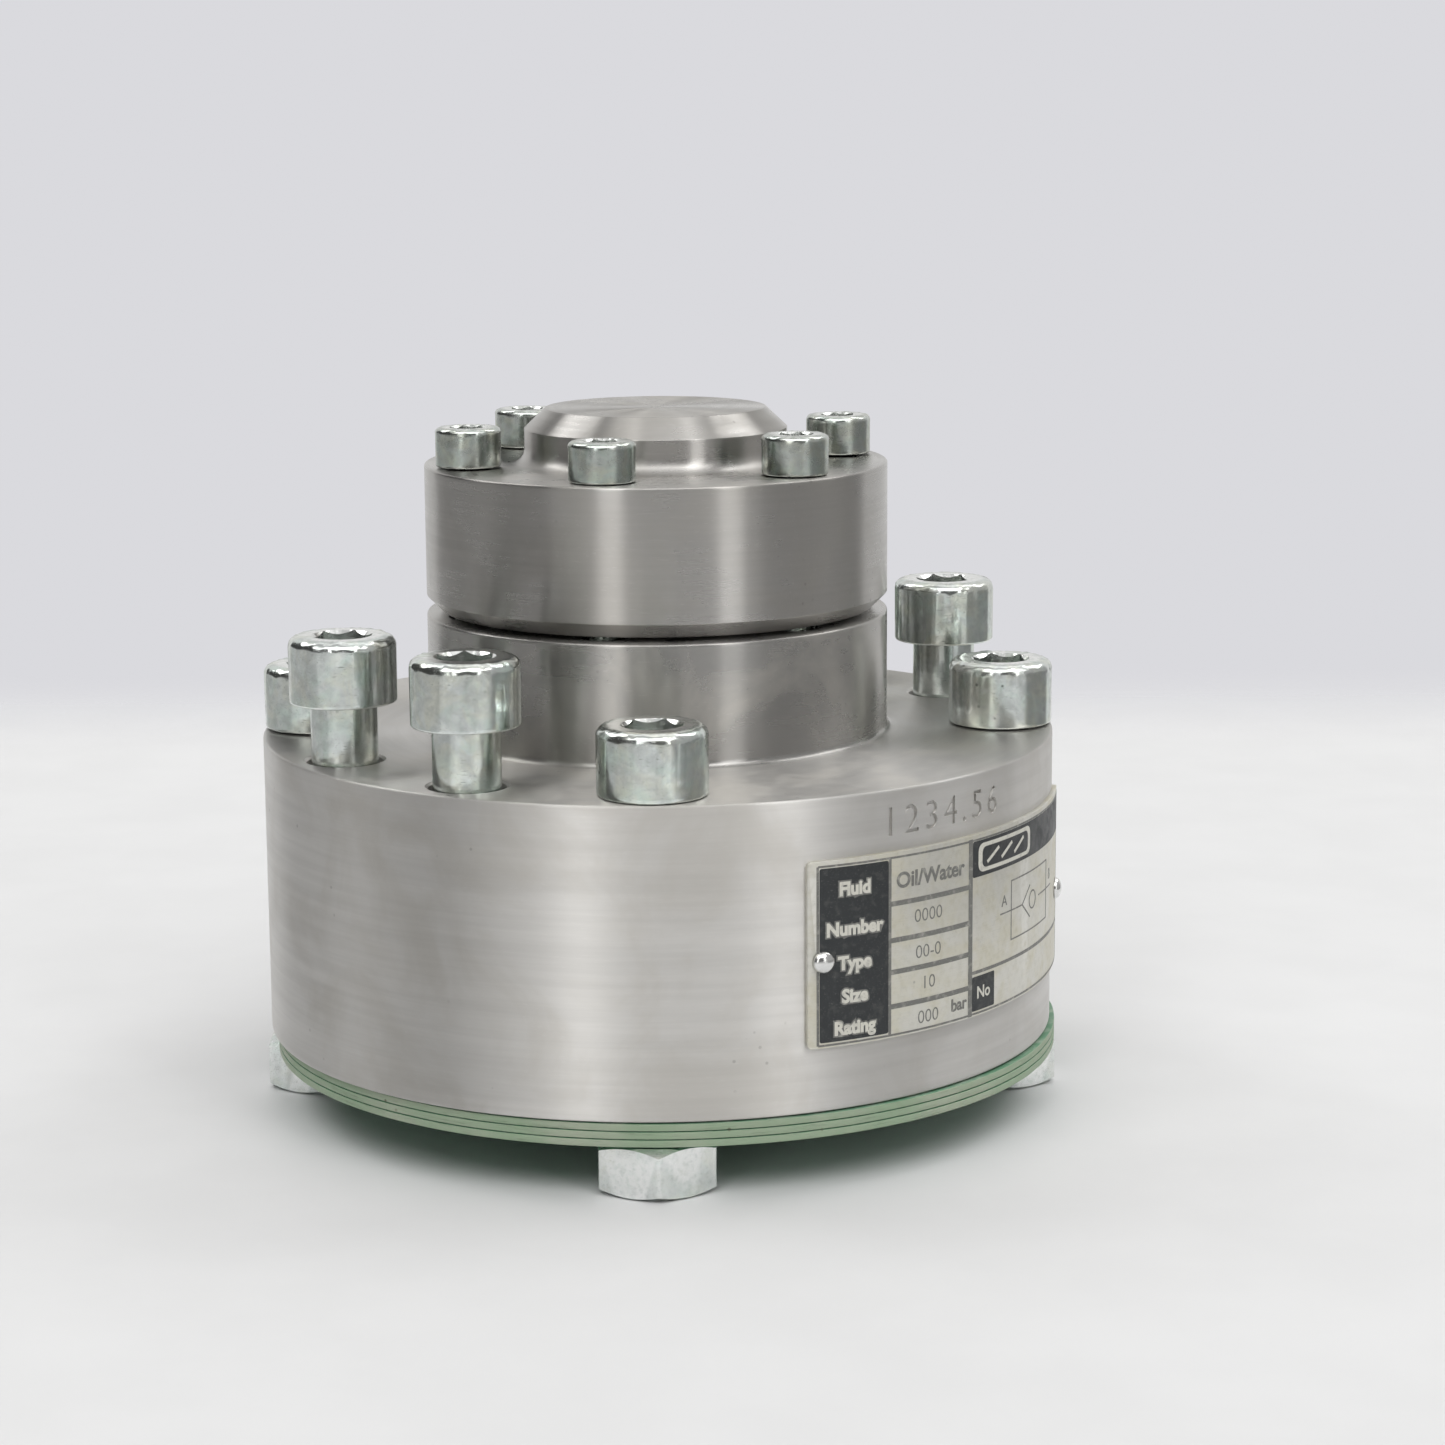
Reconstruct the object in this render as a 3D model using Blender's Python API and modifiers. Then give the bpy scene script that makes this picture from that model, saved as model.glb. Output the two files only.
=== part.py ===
"""Flange-mounted hydraulic check valve on its transport discs, one object for each piece.

Metres, +Z up. The origin is on the valve's axis, in the plane that the four nuts stand on.
Azimuths are degrees from the front (-Y), positive towards +X.
"""

import math

import bmesh
import bpy
from mathutils import Matrix, Vector

MM = 0.001

# Clearances between pieces that touch on the real valve
GAP = 0.15 * MM
FINE_GAP = 0.1 * MM

# Flange screws M10 x 55 and their nuts
SCREW_CIRCLE_R = 53.55 * MM
SCREW_SHANK_R = 5.0 * MM
SCREW_LENGTH = 55.0 * MM
SCREW_HEAD_R = 8.0 * MM
SCREW_HEAD_H = 10.0 * MM
SCREW_KEY_AF = 8.0 * MM
SCREW_KEY_DEPTH = 5.0 * MM
SCREW_HOLE_R = 5.75 * MM
SEATED_SCREW_AZ = (0.0, 90.0, 180.0, -90.0)
LOOSE_SCREW_AZ = (-30.0, -60.0, 120.0, 150.0)
NUT_H = 7.7 * MM
NUT_AF = 17.0 * MM
NUT_BORE_R = 5.25 * MM
NUT_TURN = {0.0: 3.0, 90.0: 3.0, 180.0: 0.0, -90.0: 0.0}

# Transport discs between the nuts and the valve
DISC_R = 61.5 * MM
DISC_T = 1.1 * MM
DISC_COUNT = 3
DISC_SHIFT_X = 0.9 * MM
DISC_HOLE_R = 5.9 * MM

# Valve body: a round flange block with a neck
BODY_R = 61.5 * MM
BODY_Z = NUT_H + DISC_COUNT * (DISC_T + FINE_GAP) + GAP + 0.1 * MM
FLANGE_H = 46.0 * MM
FLANGE_TOP = BODY_Z + FLANGE_H
NECK_R = 35.75 * MM
NECK_TOP = BODY_Z + 64.5 * MM
NECK_FILLET_R = 2.0 * MM
EDGE = 0.4 * MM

# Passages inside the body
MAIN_BORE_R = 22.0 * MM
CHAMBER_R = 34.0 * MM
CHAMBER_Z = (30.0 * MM, 46.0 * MM)
SEAT_POCKET_R = 15.0 * MM
SEAT_POCKET_Z = 22.0 * MM
PORT_A_R = 7.5 * MM
PORT_A_SEAL_R = 11.0 * MM
PORT_B_R = 6.0 * MM
PORT_B_SEAL_R = 9.5 * MM
PORT_B_OFFSET = 27.0 * MM
PORT_SEAL_DEPTH = 2.2 * MM
PORT_RING_WIRE_R = 1.0 * MM

# Top cover with its boss and spigot
COVER_Z = NECK_TOP + 0.7 * MM
COVER_TOP = COVER_Z + 22.3 * MM
COVER_CHAMFER = 2.2 * MM
BOSS_R = 20.3 * MM
BOSS_TOP_R = 17.0 * MM
BOSS_STRAIGHT_TOP = COVER_TOP + 5.2 * MM
BOSS_TOP = COVER_TOP + 8.3 * MM
BOSS_FILLET_R = 3.0 * MM
SPIGOT_R = MAIN_BORE_R - 0.2 * MM
SPIGOT_Z = 60.0 * MM
SEAL_GROOVE_R = 19.2 * MM
SEAL_GROOVE_Z = (65.5 * MM, 69.9 * MM)
SPRING_POCKET_R = 7.3 * MM
SPRING_POCKET_TOP = 72.0 * MM

# Cover screws M6 x 35
COVER_SCREW_CIRCLE_R = 29.5 * MM
COVER_SCREW_FIRST_AZ = -14.5
COVER_SCREW_COUNT = 6
COVER_SCREW_SHANK_R = 3.0 * MM
COVER_SCREW_LENGTH = 35.0 * MM
COVER_SCREW_HEAD_R = 5.0 * MM
COVER_SCREW_HEAD_H = 6.0 * MM
COVER_SCREW_KEY_AF = 5.0 * MM
COVER_SCREW_KEY_DEPTH = 3.0 * MM
COVER_HOLE_R = 3.4 * MM
TAPPED_HOLE_R = 3.4 * MM
TAPPED_HOLE_DEPTH = 16.0 * MM

# Seat, cage, poppet and spring
SEAT_R = SEAT_POCKET_R - 0.2 * MM
SEAT_TOP = CHAMBER_Z[0]
SEAT_CHAMFER = 1.5 * MM
SEAT_GROOVE_R = 13.1 * MM
SEAT_GROOVE_Z = (25.0 * MM, 27.8 * MM)
CAGE_BORE_R = 10.5 * MM
CAGE_R = 13.0 * MM
CAGE_RIM_R = MAIN_BORE_R - 0.3 * MM
CAGE_RIM_H = 4.0 * MM
CAGE_WINDOWS = 6
WINDOW_W = 6.5 * MM
WINDOW_Z = (32.5 * MM, 43.0 * MM)
POPPET_R = CAGE_BORE_R - 0.2 * MM
POPPET_STROKE = 4.5 * MM
POPPET_TOP = SPIGOT_Z - POPPET_STROKE - FINE_GAP
POPPET_NOSE_R = 6.5 * MM
POPPET_CUP_R = 7.2 * MM
POPPET_CUP_Z = 36.0 * MM
CONE_GAP = 0.15 * MM
SPRING_WIRE_R = 0.8 * MM
SPRING_COIL_R = 5.9 * MM
SPRING_TURNS = 7
SPRING_END_TURNS = 1.0

# Nameplate, bent round the flange, on two drive rivets
PLATE_AZ = (20.5, 85.5)
PLATE_Z = (BODY_Z + 9.6 * MM, BODY_Z + 37.0 * MM)
PLATE_T = 0.8 * MM
RIVET_AZ_Z = ((22.75, BODY_Z + 22.3 * MM), (81.0, BODY_Z + 21.5 * MM))
RIVET_SHANK_R = 1.1 * MM
RIVET_HEAD_R = 1.65 * MM
RIVET_HEAD_H = 1.0 * MM
RIVET_LENGTH = 5.0 * MM

# Facets
BODY_STEPS = 32
COVER_STEPS = 32
SCREW_STEPS = 12
SMALL_STEPS = 8
INNER_STEPS = 16
SOFT_RING_SIDES = 6

# Colour, metallic value and roughness of each finish
FINISHES = {
    "turned_steel": ((0.42, 0.41, 0.39), 1.0, 0.34),
    "cover_steel": ((0.33, 0.32, 0.31), 1.0, 0.36),
    "zinc_plated_screw": ((0.62, 0.65, 0.66), 1.0, 0.28),
    "dull_zinc_screw": ((0.45, 0.47, 0.46), 1.0, 0.4),
    "green_disc": ((0.33, 0.47, 0.36), 0.0, 0.6),
    "plate_aluminium": ((0.66, 0.66, 0.62), 0.8, 0.45),
    "rivet_steel": ((0.6, 0.6, 0.6), 1.0, 0.25),
    "ground_steel": ((0.5, 0.5, 0.5), 1.0, 0.2),
    "spring_steel": ((0.3, 0.3, 0.32), 1.0, 0.35),
    "black_rubber": ((0.02, 0.02, 0.02), 0.0, 0.6),
    "white_plastic": ((0.75, 0.74, 0.7), 0.0, 0.5),
}


def clear_scene():
    for obj in list(bpy.data.objects):
        bpy.data.objects.remove(obj)


def new_collection(name, parent):
    collection = bpy.data.collections.new(name)
    parent.children.link(collection)
    return collection


def make_material(name):
    colour, metallic, roughness = FINISHES[name]
    material = bpy.data.materials.new(name)
    material.use_nodes = True
    shader = material.node_tree.nodes["Principled BSDF"]
    shader.inputs["Base Color"].default_value = (*colour, 1.0)
    shader.inputs["Metallic"].default_value = metallic
    shader.inputs["Roughness"].default_value = roughness
    return material


def at_azimuth(radius, azimuth, z=0.0):
    """The point at this radius and azimuth."""
    angle = math.radians(azimuth)
    return Vector((radius * math.sin(angle), -radius * math.cos(angle), z))


def outward(azimuth):
    """The turn that takes +Z to the outward direction at this azimuth, and keeps +X level."""
    return Matrix.Rotation(math.radians(azimuth), 4, "Z") @ Matrix.Rotation(math.pi / 2, 4, "X")


def arc(centre_r, centre_z, radius, start, end, count):
    """Profile points along an arc, from the start angle to the end angle in degrees."""
    angles = [math.radians(start + (end - start) * i / count) for i in range(count + 1)]
    return [(centre_r + radius * math.cos(a), centre_z + radius * math.sin(a)) for a in angles]


class Workshop:
    """The collections and materials that every piece is made with."""

    def __init__(self):
        scene = bpy.context.scene.collection
        self.pieces = new_collection("check_valve", scene)
        self.cutters = new_collection("cutters", scene)
        self.cutters.hide_render = True
        self.materials = {name: make_material(name) for name in FINISHES}

    def add_mesh(self, name, mesh, material):
        """A piece with its own object, which may share its mesh with other pieces."""
        obj = bpy.data.objects.new(name, mesh)
        self.pieces.objects.link(obj)
        if not mesh.materials:
            mesh.materials.append(self.materials[material])
        return obj

    def turned(self, name, profile, material, steps, closed=False):
        """A turned piece: the profile of (radius, height) points runs down its outer side."""
        mesh = bpy.data.meshes.new(name)
        edges = [(i, i + 1) for i in range(len(profile) - 1)]
        if closed:
            edges.append((len(profile) - 1, 0))
        mesh.from_pydata([(r, 0.0, z) for r, z in profile], edges, [])
        obj = self.add_mesh(name, mesh, material)
        screw = obj.modifiers.new("turn", "SCREW")
        screw.steps = steps
        screw.render_steps = steps
        screw.use_merge_vertices = True
        screw.merge_threshold = 0.00001
        return obj

    def cutter_group(self, piece_name):
        group = new_collection("cutters_" + piece_name, self.cutters)
        group.hide_render = True
        return group

    def add_cutter(self, group, name, mesh, place):
        obj = bpy.data.objects.new(name, mesh)
        obj.matrix_world = place
        obj.hide_render = True
        obj.display_type = "WIRE"
        group.objects.link(obj)
        return obj

    def round_cutter(self, group, name, radius, low, high, place, segments):
        """A straight round cutter from low to high along the placing's own Z axis."""
        shape = bmesh.new()
        middle = Matrix.Translation((0, 0, (low + high) / 2))
        bmesh.ops.create_cone(
            shape, cap_ends=True, segments=segments, radius1=radius, radius2=radius,
            depth=high - low, matrix=middle,
        )
        mesh = bpy.data.meshes.new(name)
        shape.to_mesh(mesh)
        shape.free()
        return self.add_cutter(group, name, mesh, place)


def cut(obj, group, operation="DIFFERENCE"):
    modifier = obj.modifiers.new(operation.lower(), "BOOLEAN")
    modifier.operation = operation
    modifier.operand_type = "COLLECTION"
    modifier.collection = group
    modifier.solver = "EXACT"


def baked(obj):
    """The finished mesh of this object, whose modifiers and object then go."""
    bpy.context.view_layer.update()
    graph = bpy.context.evaluated_depsgraph_get()
    mesh = bpy.data.meshes.new_from_object(obj.evaluated_get(graph))
    mesh.name = obj.name
    bpy.data.objects.remove(obj)
    return mesh


def shade(mesh):
    """Smooth shading on round walls, sharp where two faces meet at more than 35 degrees."""
    mesh.shade_smooth()
    mesh.set_sharp_from_angle(angle=math.radians(35))


def make_valve_body(shop):
    fillet = arc(NECK_R + NECK_FILLET_R, FLANGE_TOP + NECK_FILLET_R, NECK_FILLET_R, 180, 270, 3)
    profile = [
        (MAIN_BORE_R + 0.6 * MM, NECK_TOP),
        (NECK_R - EDGE, NECK_TOP),
        (NECK_R, NECK_TOP - EDGE),
        *fillet,
        (BODY_R - EDGE, FLANGE_TOP),
        (BODY_R, FLANGE_TOP - EDGE),
        (BODY_R, BODY_Z + EDGE),
        (BODY_R - EDGE, BODY_Z),
        (PORT_A_SEAL_R, BODY_Z),
        (PORT_A_SEAL_R, BODY_Z + PORT_SEAL_DEPTH),
        (PORT_A_R, BODY_Z + PORT_SEAL_DEPTH),
        (PORT_A_R, SEAT_POCKET_Z),
        (SEAT_POCKET_R, SEAT_POCKET_Z),
        (SEAT_POCKET_R, CHAMBER_Z[0]),
        (CHAMBER_R, CHAMBER_Z[0]),
        (CHAMBER_R, CHAMBER_Z[1]),
        (MAIN_BORE_R, CHAMBER_Z[1]),
        (MAIN_BORE_R, NECK_TOP - 0.6 * MM),
    ]
    body = shop.turned("valve_body", profile, "turned_steel", BODY_STEPS, closed=True)
    group = shop.cutter_group("valve_body")
    for azimuth in SEATED_SCREW_AZ + LOOSE_SCREW_AZ:
        place = Matrix.Translation(at_azimuth(SCREW_CIRCLE_R, azimuth))
        low, high = BODY_Z - MM, FLANGE_TOP + MM
        shop.round_cutter(group, "flange_hole", SCREW_HOLE_R, low, high, place, SCREW_STEPS)
    for azimuth in cover_screw_azimuths():
        place = Matrix.Translation(at_azimuth(COVER_SCREW_CIRCLE_R, azimuth))
        low, high = NECK_TOP - TAPPED_HOLE_DEPTH, NECK_TOP + MM
        shop.round_cutter(group, "tapped_hole", TAPPED_HOLE_R, low, high, place, SMALL_STEPS)
    port_b = Matrix.Translation((0, PORT_B_OFFSET, 0))
    middle = (CHAMBER_Z[0] + CHAMBER_Z[1]) / 2
    seal_top = BODY_Z + PORT_SEAL_DEPTH
    shop.round_cutter(group, "port_b", PORT_B_R, BODY_Z - MM, middle, port_b, SCREW_STEPS)
    shop.round_cutter(group, "port_b_seal", PORT_B_SEAL_R, BODY_Z - MM, seal_top, port_b, INNER_STEPS)
    for azimuth, z in RIVET_AZ_Z:
        place = Matrix.Translation((0, 0, z)) @ outward(azimuth)
        low, high = BODY_R - RIVET_LENGTH - MM, BODY_R + MM
        shop.round_cutter(group, "rivet_hole", RIVET_SHANK_R + GAP, low, high, place, SMALL_STEPS)
    cut(body, group)


def cover_screw_azimuths():
    step = 360.0 / COVER_SCREW_COUNT
    return [COVER_SCREW_FIRST_AZ + step * i for i in range(COVER_SCREW_COUNT)]


def make_top_cover(shop):
    fillet = arc(BOSS_R + BOSS_FILLET_R, COVER_TOP + BOSS_FILLET_R, BOSS_FILLET_R, 180, 270, 2)
    profile = [
        (0.0, BOSS_TOP),
        (BOSS_TOP_R, BOSS_TOP),
        (BOSS_R, BOSS_STRAIGHT_TOP),
        *fillet,
        (NECK_R - EDGE, COVER_TOP),
        (NECK_R, COVER_TOP - EDGE),
        (NECK_R, COVER_Z + COVER_CHAMFER),
        (NECK_R - COVER_CHAMFER, COVER_Z),
        (SPIGOT_R, COVER_Z),
        (SPIGOT_R, SEAL_GROOVE_Z[1]),
        (SEAL_GROOVE_R, SEAL_GROOVE_Z[1]),
        (SEAL_GROOVE_R, SEAL_GROOVE_Z[0]),
        (SPIGOT_R, SEAL_GROOVE_Z[0]),
        (SPIGOT_R, SPIGOT_Z + 0.8 * MM),
        (SPIGOT_R - 0.8 * MM, SPIGOT_Z),
        (SPRING_POCKET_R, SPIGOT_Z),
        (SPRING_POCKET_R, SPRING_POCKET_TOP),
        (0.0, SPRING_POCKET_TOP),
    ]
    cover = shop.turned("top_cover", profile, "cover_steel", COVER_STEPS)
    group = shop.cutter_group("top_cover")
    for azimuth in cover_screw_azimuths():
        place = Matrix.Translation(at_azimuth(COVER_SCREW_CIRCLE_R, azimuth))
        low, high = COVER_Z - MM, COVER_TOP + MM
        shop.round_cutter(group, "cover_hole", COVER_HOLE_R, low, high, place, SMALL_STEPS)
    cut(cover, group)


def socket_screw_mesh(shop, name, material, steps, sizes):
    """A hex socket head cap screw on its own axis, with the underside of its head at z = 0."""
    shank_r, length, head_r, head_h, key_af, key_depth = sizes
    rim = 0.1 * head_r
    tip = 0.16 * shank_r
    profile = [
        (0.0, head_h),
        (head_r - rim, head_h),
        (head_r, head_h - rim),
        (head_r, 0.0),
        (shank_r, 0.0),
        (shank_r, -length + tip),
        (shank_r - tip, -length),
        (0.0, -length),
    ]
    blank = shop.turned(name, profile, material, steps)
    group = shop.cutter_group(name)
    corner_r = key_af / 2 / math.cos(math.pi / 6)
    place = Matrix.Identity(4)
    low, high = head_h - key_depth, head_h + MM
    shop.round_cutter(group, "key_" + name, corner_r, low, high, place, 6)
    cut(blank, group)
    mesh = baked(blank)
    shade(mesh)
    return mesh


def make_flange_screws(shop):
    sizes = (SCREW_SHANK_R, SCREW_LENGTH, SCREW_HEAD_R, SCREW_HEAD_H, SCREW_KEY_AF, SCREW_KEY_DEPTH)
    mesh = socket_screw_mesh(shop, "flange_screw", "zinc_plated_screw", SCREW_STEPS, sizes)
    seated = FLANGE_TOP + GAP
    standing_on_disc = BODY_Z - GAP + SCREW_LENGTH
    places = [(azimuth, seated) for azimuth in SEATED_SCREW_AZ]
    places += [(azimuth, standing_on_disc) for azimuth in LOOSE_SCREW_AZ]
    for number, (azimuth, height) in enumerate(places, start=1):
        screw = shop.add_mesh(f"flange_screw_{number}", mesh, "zinc_plated_screw")
        screw.location = at_azimuth(SCREW_CIRCLE_R, azimuth, height)
        screw.rotation_euler.z = math.radians(37 * number)


def make_cover_screws(shop):
    sizes = (
        COVER_SCREW_SHANK_R, COVER_SCREW_LENGTH, COVER_SCREW_HEAD_R,
        COVER_SCREW_HEAD_H, COVER_SCREW_KEY_AF, COVER_SCREW_KEY_DEPTH,
    )
    mesh = socket_screw_mesh(shop, "cover_screw", "dull_zinc_screw", SMALL_STEPS, sizes)
    for number, azimuth in enumerate(cover_screw_azimuths(), start=1):
        screw = shop.add_mesh(f"cover_screw_{number}", mesh, "dull_zinc_screw")
        screw.location = at_azimuth(COVER_SCREW_CIRCLE_R, azimuth, COVER_TOP + GAP)
        screw.rotation_euler.z = math.radians(23 * number)


def make_hex_nuts(shop):
    corner_r = NUT_AF / 2 / math.cos(math.pi / 6)
    face_r = NUT_AF / 2 * 0.95
    chamfer_h = (corner_r - face_r) * math.tan(math.radians(30))
    overshoot = corner_r + 0.5 * MM
    overshoot_h = chamfer_h + 0.5 * MM * math.tan(math.radians(30))
    profile = [
        (face_r, NUT_H),
        (overshoot, NUT_H - overshoot_h),
        (overshoot, overshoot_h),
        (face_r, 0.0),
        (NUT_BORE_R, 0.0),
        (NUT_BORE_R, NUT_H),
    ]
    blank = shop.turned("hex_nut", profile, "zinc_plated_screw", INNER_STEPS, closed=True)
    group = shop.cutter_group("hex_nut")
    place = Matrix.Identity(4)
    shop.round_cutter(group, "hex_bar", corner_r, -MM, NUT_H + MM, place, 6)
    cut(blank, group, "INTERSECT")
    mesh = baked(blank)
    for number, azimuth in enumerate(SEATED_SCREW_AZ, start=1):
        nut = shop.add_mesh(f"hex_nut_{number}", mesh, "zinc_plated_screw")
        nut.location = at_azimuth(SCREW_CIRCLE_R, azimuth)
        nut.rotation_euler.z = math.radians(NUT_TURN[azimuth])


def make_protection_discs(shop):
    group = shop.cutter_group("protection_disc")
    for azimuth in SEATED_SCREW_AZ:
        place = Matrix.Translation(at_azimuth(SCREW_CIRCLE_R, azimuth) - Vector((DISC_SHIFT_X, 0, 0)))
        shop.round_cutter(group, "disc_hole", DISC_HOLE_R, -MM, DISC_T + MM, place, SMALL_STEPS)
    profile = [(0.0, DISC_T), (DISC_R, DISC_T), (DISC_R, 0.0), (0.0, 0.0)]
    blank = shop.turned("protection_disc", profile, "green_disc", COVER_STEPS)
    cut(blank, group)
    mesh = baked(blank)
    for number in range(1, DISC_COUNT + 1):
        disc = shop.add_mesh(f"protection_disc_{number}", mesh, "green_disc")
        height = NUT_H + GAP + (number - 1) * (DISC_T + FINE_GAP)
        disc.location = (DISC_SHIFT_X, 0, height)


def make_nameplate(shop):
    radius = BODY_R + FINE_GAP + PLATE_T
    mesh = bpy.data.meshes.new("nameplate")
    start = at_azimuth(radius, PLATE_AZ[0])
    mesh.from_pydata([(start.x, start.y, z) for z in reversed(PLATE_Z)], [(0, 1)], [])
    plate = shop.add_mesh("nameplate", mesh, "plate_aluminium")
    sweep = plate.modifiers.new("bend", "SCREW")
    sweep.angle = math.radians(PLATE_AZ[1] - PLATE_AZ[0])
    sweep.steps = 12
    sweep.render_steps = 12
    shell = plate.modifiers.new("thickness", "SOLIDIFY")
    shell.thickness = PLATE_T
    shell.offset = -1.0
    group = shop.cutter_group("nameplate")
    for azimuth, z in RIVET_AZ_Z:
        place = Matrix.Translation((0, 0, z)) @ outward(azimuth)
        low, high = BODY_R - MM, radius + MM
        shop.round_cutter(group, "plate_hole", RIVET_SHANK_R + GAP, low, high, place, SMALL_STEPS)
    cut(plate, group)


def make_nameplate_rivets(shop):
    dome = arc(0.0, 0.0, 1.0, 90, 0, 3)
    profile = [(RIVET_HEAD_R * x, RIVET_HEAD_H * y) for x, y in dome]
    profile[0] = (0.0, RIVET_HEAD_H)
    profile += [(RIVET_SHANK_R, 0.0), (RIVET_SHANK_R, -RIVET_LENGTH), (0.0, -RIVET_LENGTH)]
    mesh = baked(shop.turned("nameplate_rivet", profile, "rivet_steel", SMALL_STEPS))
    shade(mesh)
    head_r = BODY_R + FINE_GAP + PLATE_T + FINE_GAP
    for number, (azimuth, z) in enumerate(RIVET_AZ_Z, start=1):
        rivet = shop.add_mesh(f"nameplate_rivet_{number}", mesh, "rivet_steel")
        rivet.matrix_world = Matrix.Translation(at_azimuth(head_r, azimuth, z)) @ outward(azimuth)


def make_seat_ring(shop):
    low = SEAT_POCKET_Z + 0.2 * MM
    profile = [
        (SEAT_R, SEAT_TOP),
        (SEAT_R, SEAT_GROOVE_Z[1]),
        (SEAT_GROOVE_R, SEAT_GROOVE_Z[1]),
        (SEAT_GROOVE_R, SEAT_GROOVE_Z[0]),
        (SEAT_R, SEAT_GROOVE_Z[0]),
        (SEAT_R, low),
        (PORT_A_R, low),
        (PORT_A_R, SEAT_TOP - SEAT_CHAMFER),
        (PORT_A_R + SEAT_CHAMFER, SEAT_TOP),
    ]
    shop.turned("seat_ring", profile, "ground_steel", INNER_STEPS, closed=True)


def make_guide_cage(shop):
    top = SPIGOT_Z - 0.3 * MM
    bottom = SEAT_TOP + 0.2 * MM
    profile = [
        (CAGE_RIM_R, top),
        (CAGE_RIM_R, top - CAGE_RIM_H),
        (CAGE_R, top - CAGE_RIM_H),
        (CAGE_R, bottom),
        (CAGE_BORE_R, bottom),
        (CAGE_BORE_R, top),
    ]
    cage = shop.turned("guide_cage", profile, "ground_steel", INNER_STEPS, closed=True)
    group = shop.cutter_group("guide_cage")
    for number in range(CAGE_WINDOWS):
        shape = bmesh.new()
        size = Matrix.Diagonal((WINDOW_W, 2 * CAGE_R, WINDOW_Z[1] - WINDOW_Z[0], 1))
        offset = Matrix.Translation((0, -CAGE_R - MM, (WINDOW_Z[0] + WINDOW_Z[1]) / 2))
        bmesh.ops.create_cube(shape, size=1.0, matrix=offset @ size)
        mesh = bpy.data.meshes.new("cage_window")
        shape.to_mesh(mesh)
        shape.free()
        turn = Matrix.Rotation(math.tau * (number + 0.25) / CAGE_WINDOWS, 4, "Z")
        shop.add_cutter(group, "cage_window", mesh, turn)
    cut(cage, group)


def make_poppet(shop):
    cone_low_z = SEAT_TOP - SEAT_CHAMFER - (PORT_A_R - POPPET_NOSE_R) + CONE_GAP
    cone_high_z = cone_low_z + POPPET_R - POPPET_NOSE_R
    profile = [
        (POPPET_R, POPPET_TOP),
        (POPPET_R, cone_high_z),
        (POPPET_NOSE_R, cone_low_z),
        (0.0, cone_low_z),
    ]
    cup = [(0.0, POPPET_CUP_Z), (POPPET_CUP_R, POPPET_CUP_Z), (POPPET_CUP_R, POPPET_TOP)]
    shop.turned("poppet", cup + profile, "ground_steel", INNER_STEPS)


def make_spring(shop):
    """A compression spring whose first and last turns lie close, as ground end turns do."""
    low = POPPET_CUP_Z + 0.2 * MM + SPRING_WIRE_R
    high = SPRING_POCKET_TOP - 0.2 * MM - SPRING_WIRE_R
    end_rise = 2 * SPRING_WIRE_R + 0.3 * MM
    points = []
    per_turn = 12
    for i in range(SPRING_TURNS * per_turn + 1):
        turn = i / per_turn
        if turn < SPRING_END_TURNS:
            rise = end_rise * turn / SPRING_END_TURNS
        elif turn > SPRING_TURNS - SPRING_END_TURNS:
            rise = high - low - end_rise * (SPRING_TURNS - turn) / SPRING_END_TURNS
        else:
            share = (turn - SPRING_END_TURNS) / (SPRING_TURNS - 2 * SPRING_END_TURNS)
            rise = end_rise + share * (high - low - 2 * end_rise)
        points.append(at_azimuth(SPRING_COIL_R, 360 * turn, low + rise))
    curve = bpy.data.curves.new("spring", "CURVE")
    curve.dimensions = "3D"
    curve.bevel_depth = SPRING_WIRE_R
    curve.bevel_resolution = 1
    curve.use_fill_caps = True
    spline = curve.splines.new("POLY")
    spline.points.add(len(points) - 1)
    for target, point in zip(spline.points, points):
        target.co = (*point, 1.0)
    spring = bpy.data.objects.new("spring", curve)
    curve.materials.append(shop.materials["spring_steel"])
    shop.pieces.objects.link(spring)


def make_soft_ring(shop, name, ring_r, wire_r, centre, steps=INNER_STEPS):
    """An O-ring of this wire radius, lying flat round its centre."""
    profile = arc(ring_r, 0.0, wire_r, 90, -270, SOFT_RING_SIDES)[:-1]
    ring = shop.turned(name, profile, "black_rubber", steps, closed=True)
    ring.location = centre


def make_seals(shop):
    cover_wire_r = 1.2 * MM
    cover_ring_z = SEAL_GROOVE_Z[0] + FINE_GAP + cover_wire_r
    cover_ring_r = (SEAL_GROOVE_R + SPIGOT_R) / 2
    make_soft_ring(shop, "cover_o_ring", cover_ring_r, cover_wire_r, (0, 0, cover_ring_z), COVER_STEPS)
    backup_low = cover_ring_z + cover_wire_r + FINE_GAP
    backup_high = SEAL_GROOVE_Z[1] - FINE_GAP
    inner, outer = SEAL_GROOVE_R + GAP, SPIGOT_R - FINE_GAP
    profile = [(outer, backup_high), (outer, backup_low), (inner, backup_low), (inner, backup_high)]
    shop.turned("cover_backup_ring", profile, "white_plastic", COVER_STEPS, closed=True)
    seat_wire_r = 0.75 * MM
    seat_ring_z = (SEAT_GROOVE_Z[0] + SEAT_GROOVE_Z[1]) / 2
    seat_ring_r = (SEAT_GROOVE_R + SEAT_R) / 2
    make_soft_ring(shop, "seat_o_ring", seat_ring_r, seat_wire_r, (0, 0, seat_ring_z))
    port_z = BODY_Z + FINE_GAP + PORT_RING_WIRE_R
    port_a_r = PORT_A_SEAL_R - 1.2 * MM
    port_b_r = PORT_B_SEAL_R - 1.2 * MM
    make_soft_ring(shop, "port_a_o_ring", port_a_r, PORT_RING_WIRE_R, (0, 0, port_z))
    make_soft_ring(shop, "port_b_o_ring", port_b_r, PORT_RING_WIRE_R, (0, PORT_B_OFFSET, port_z))


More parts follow.
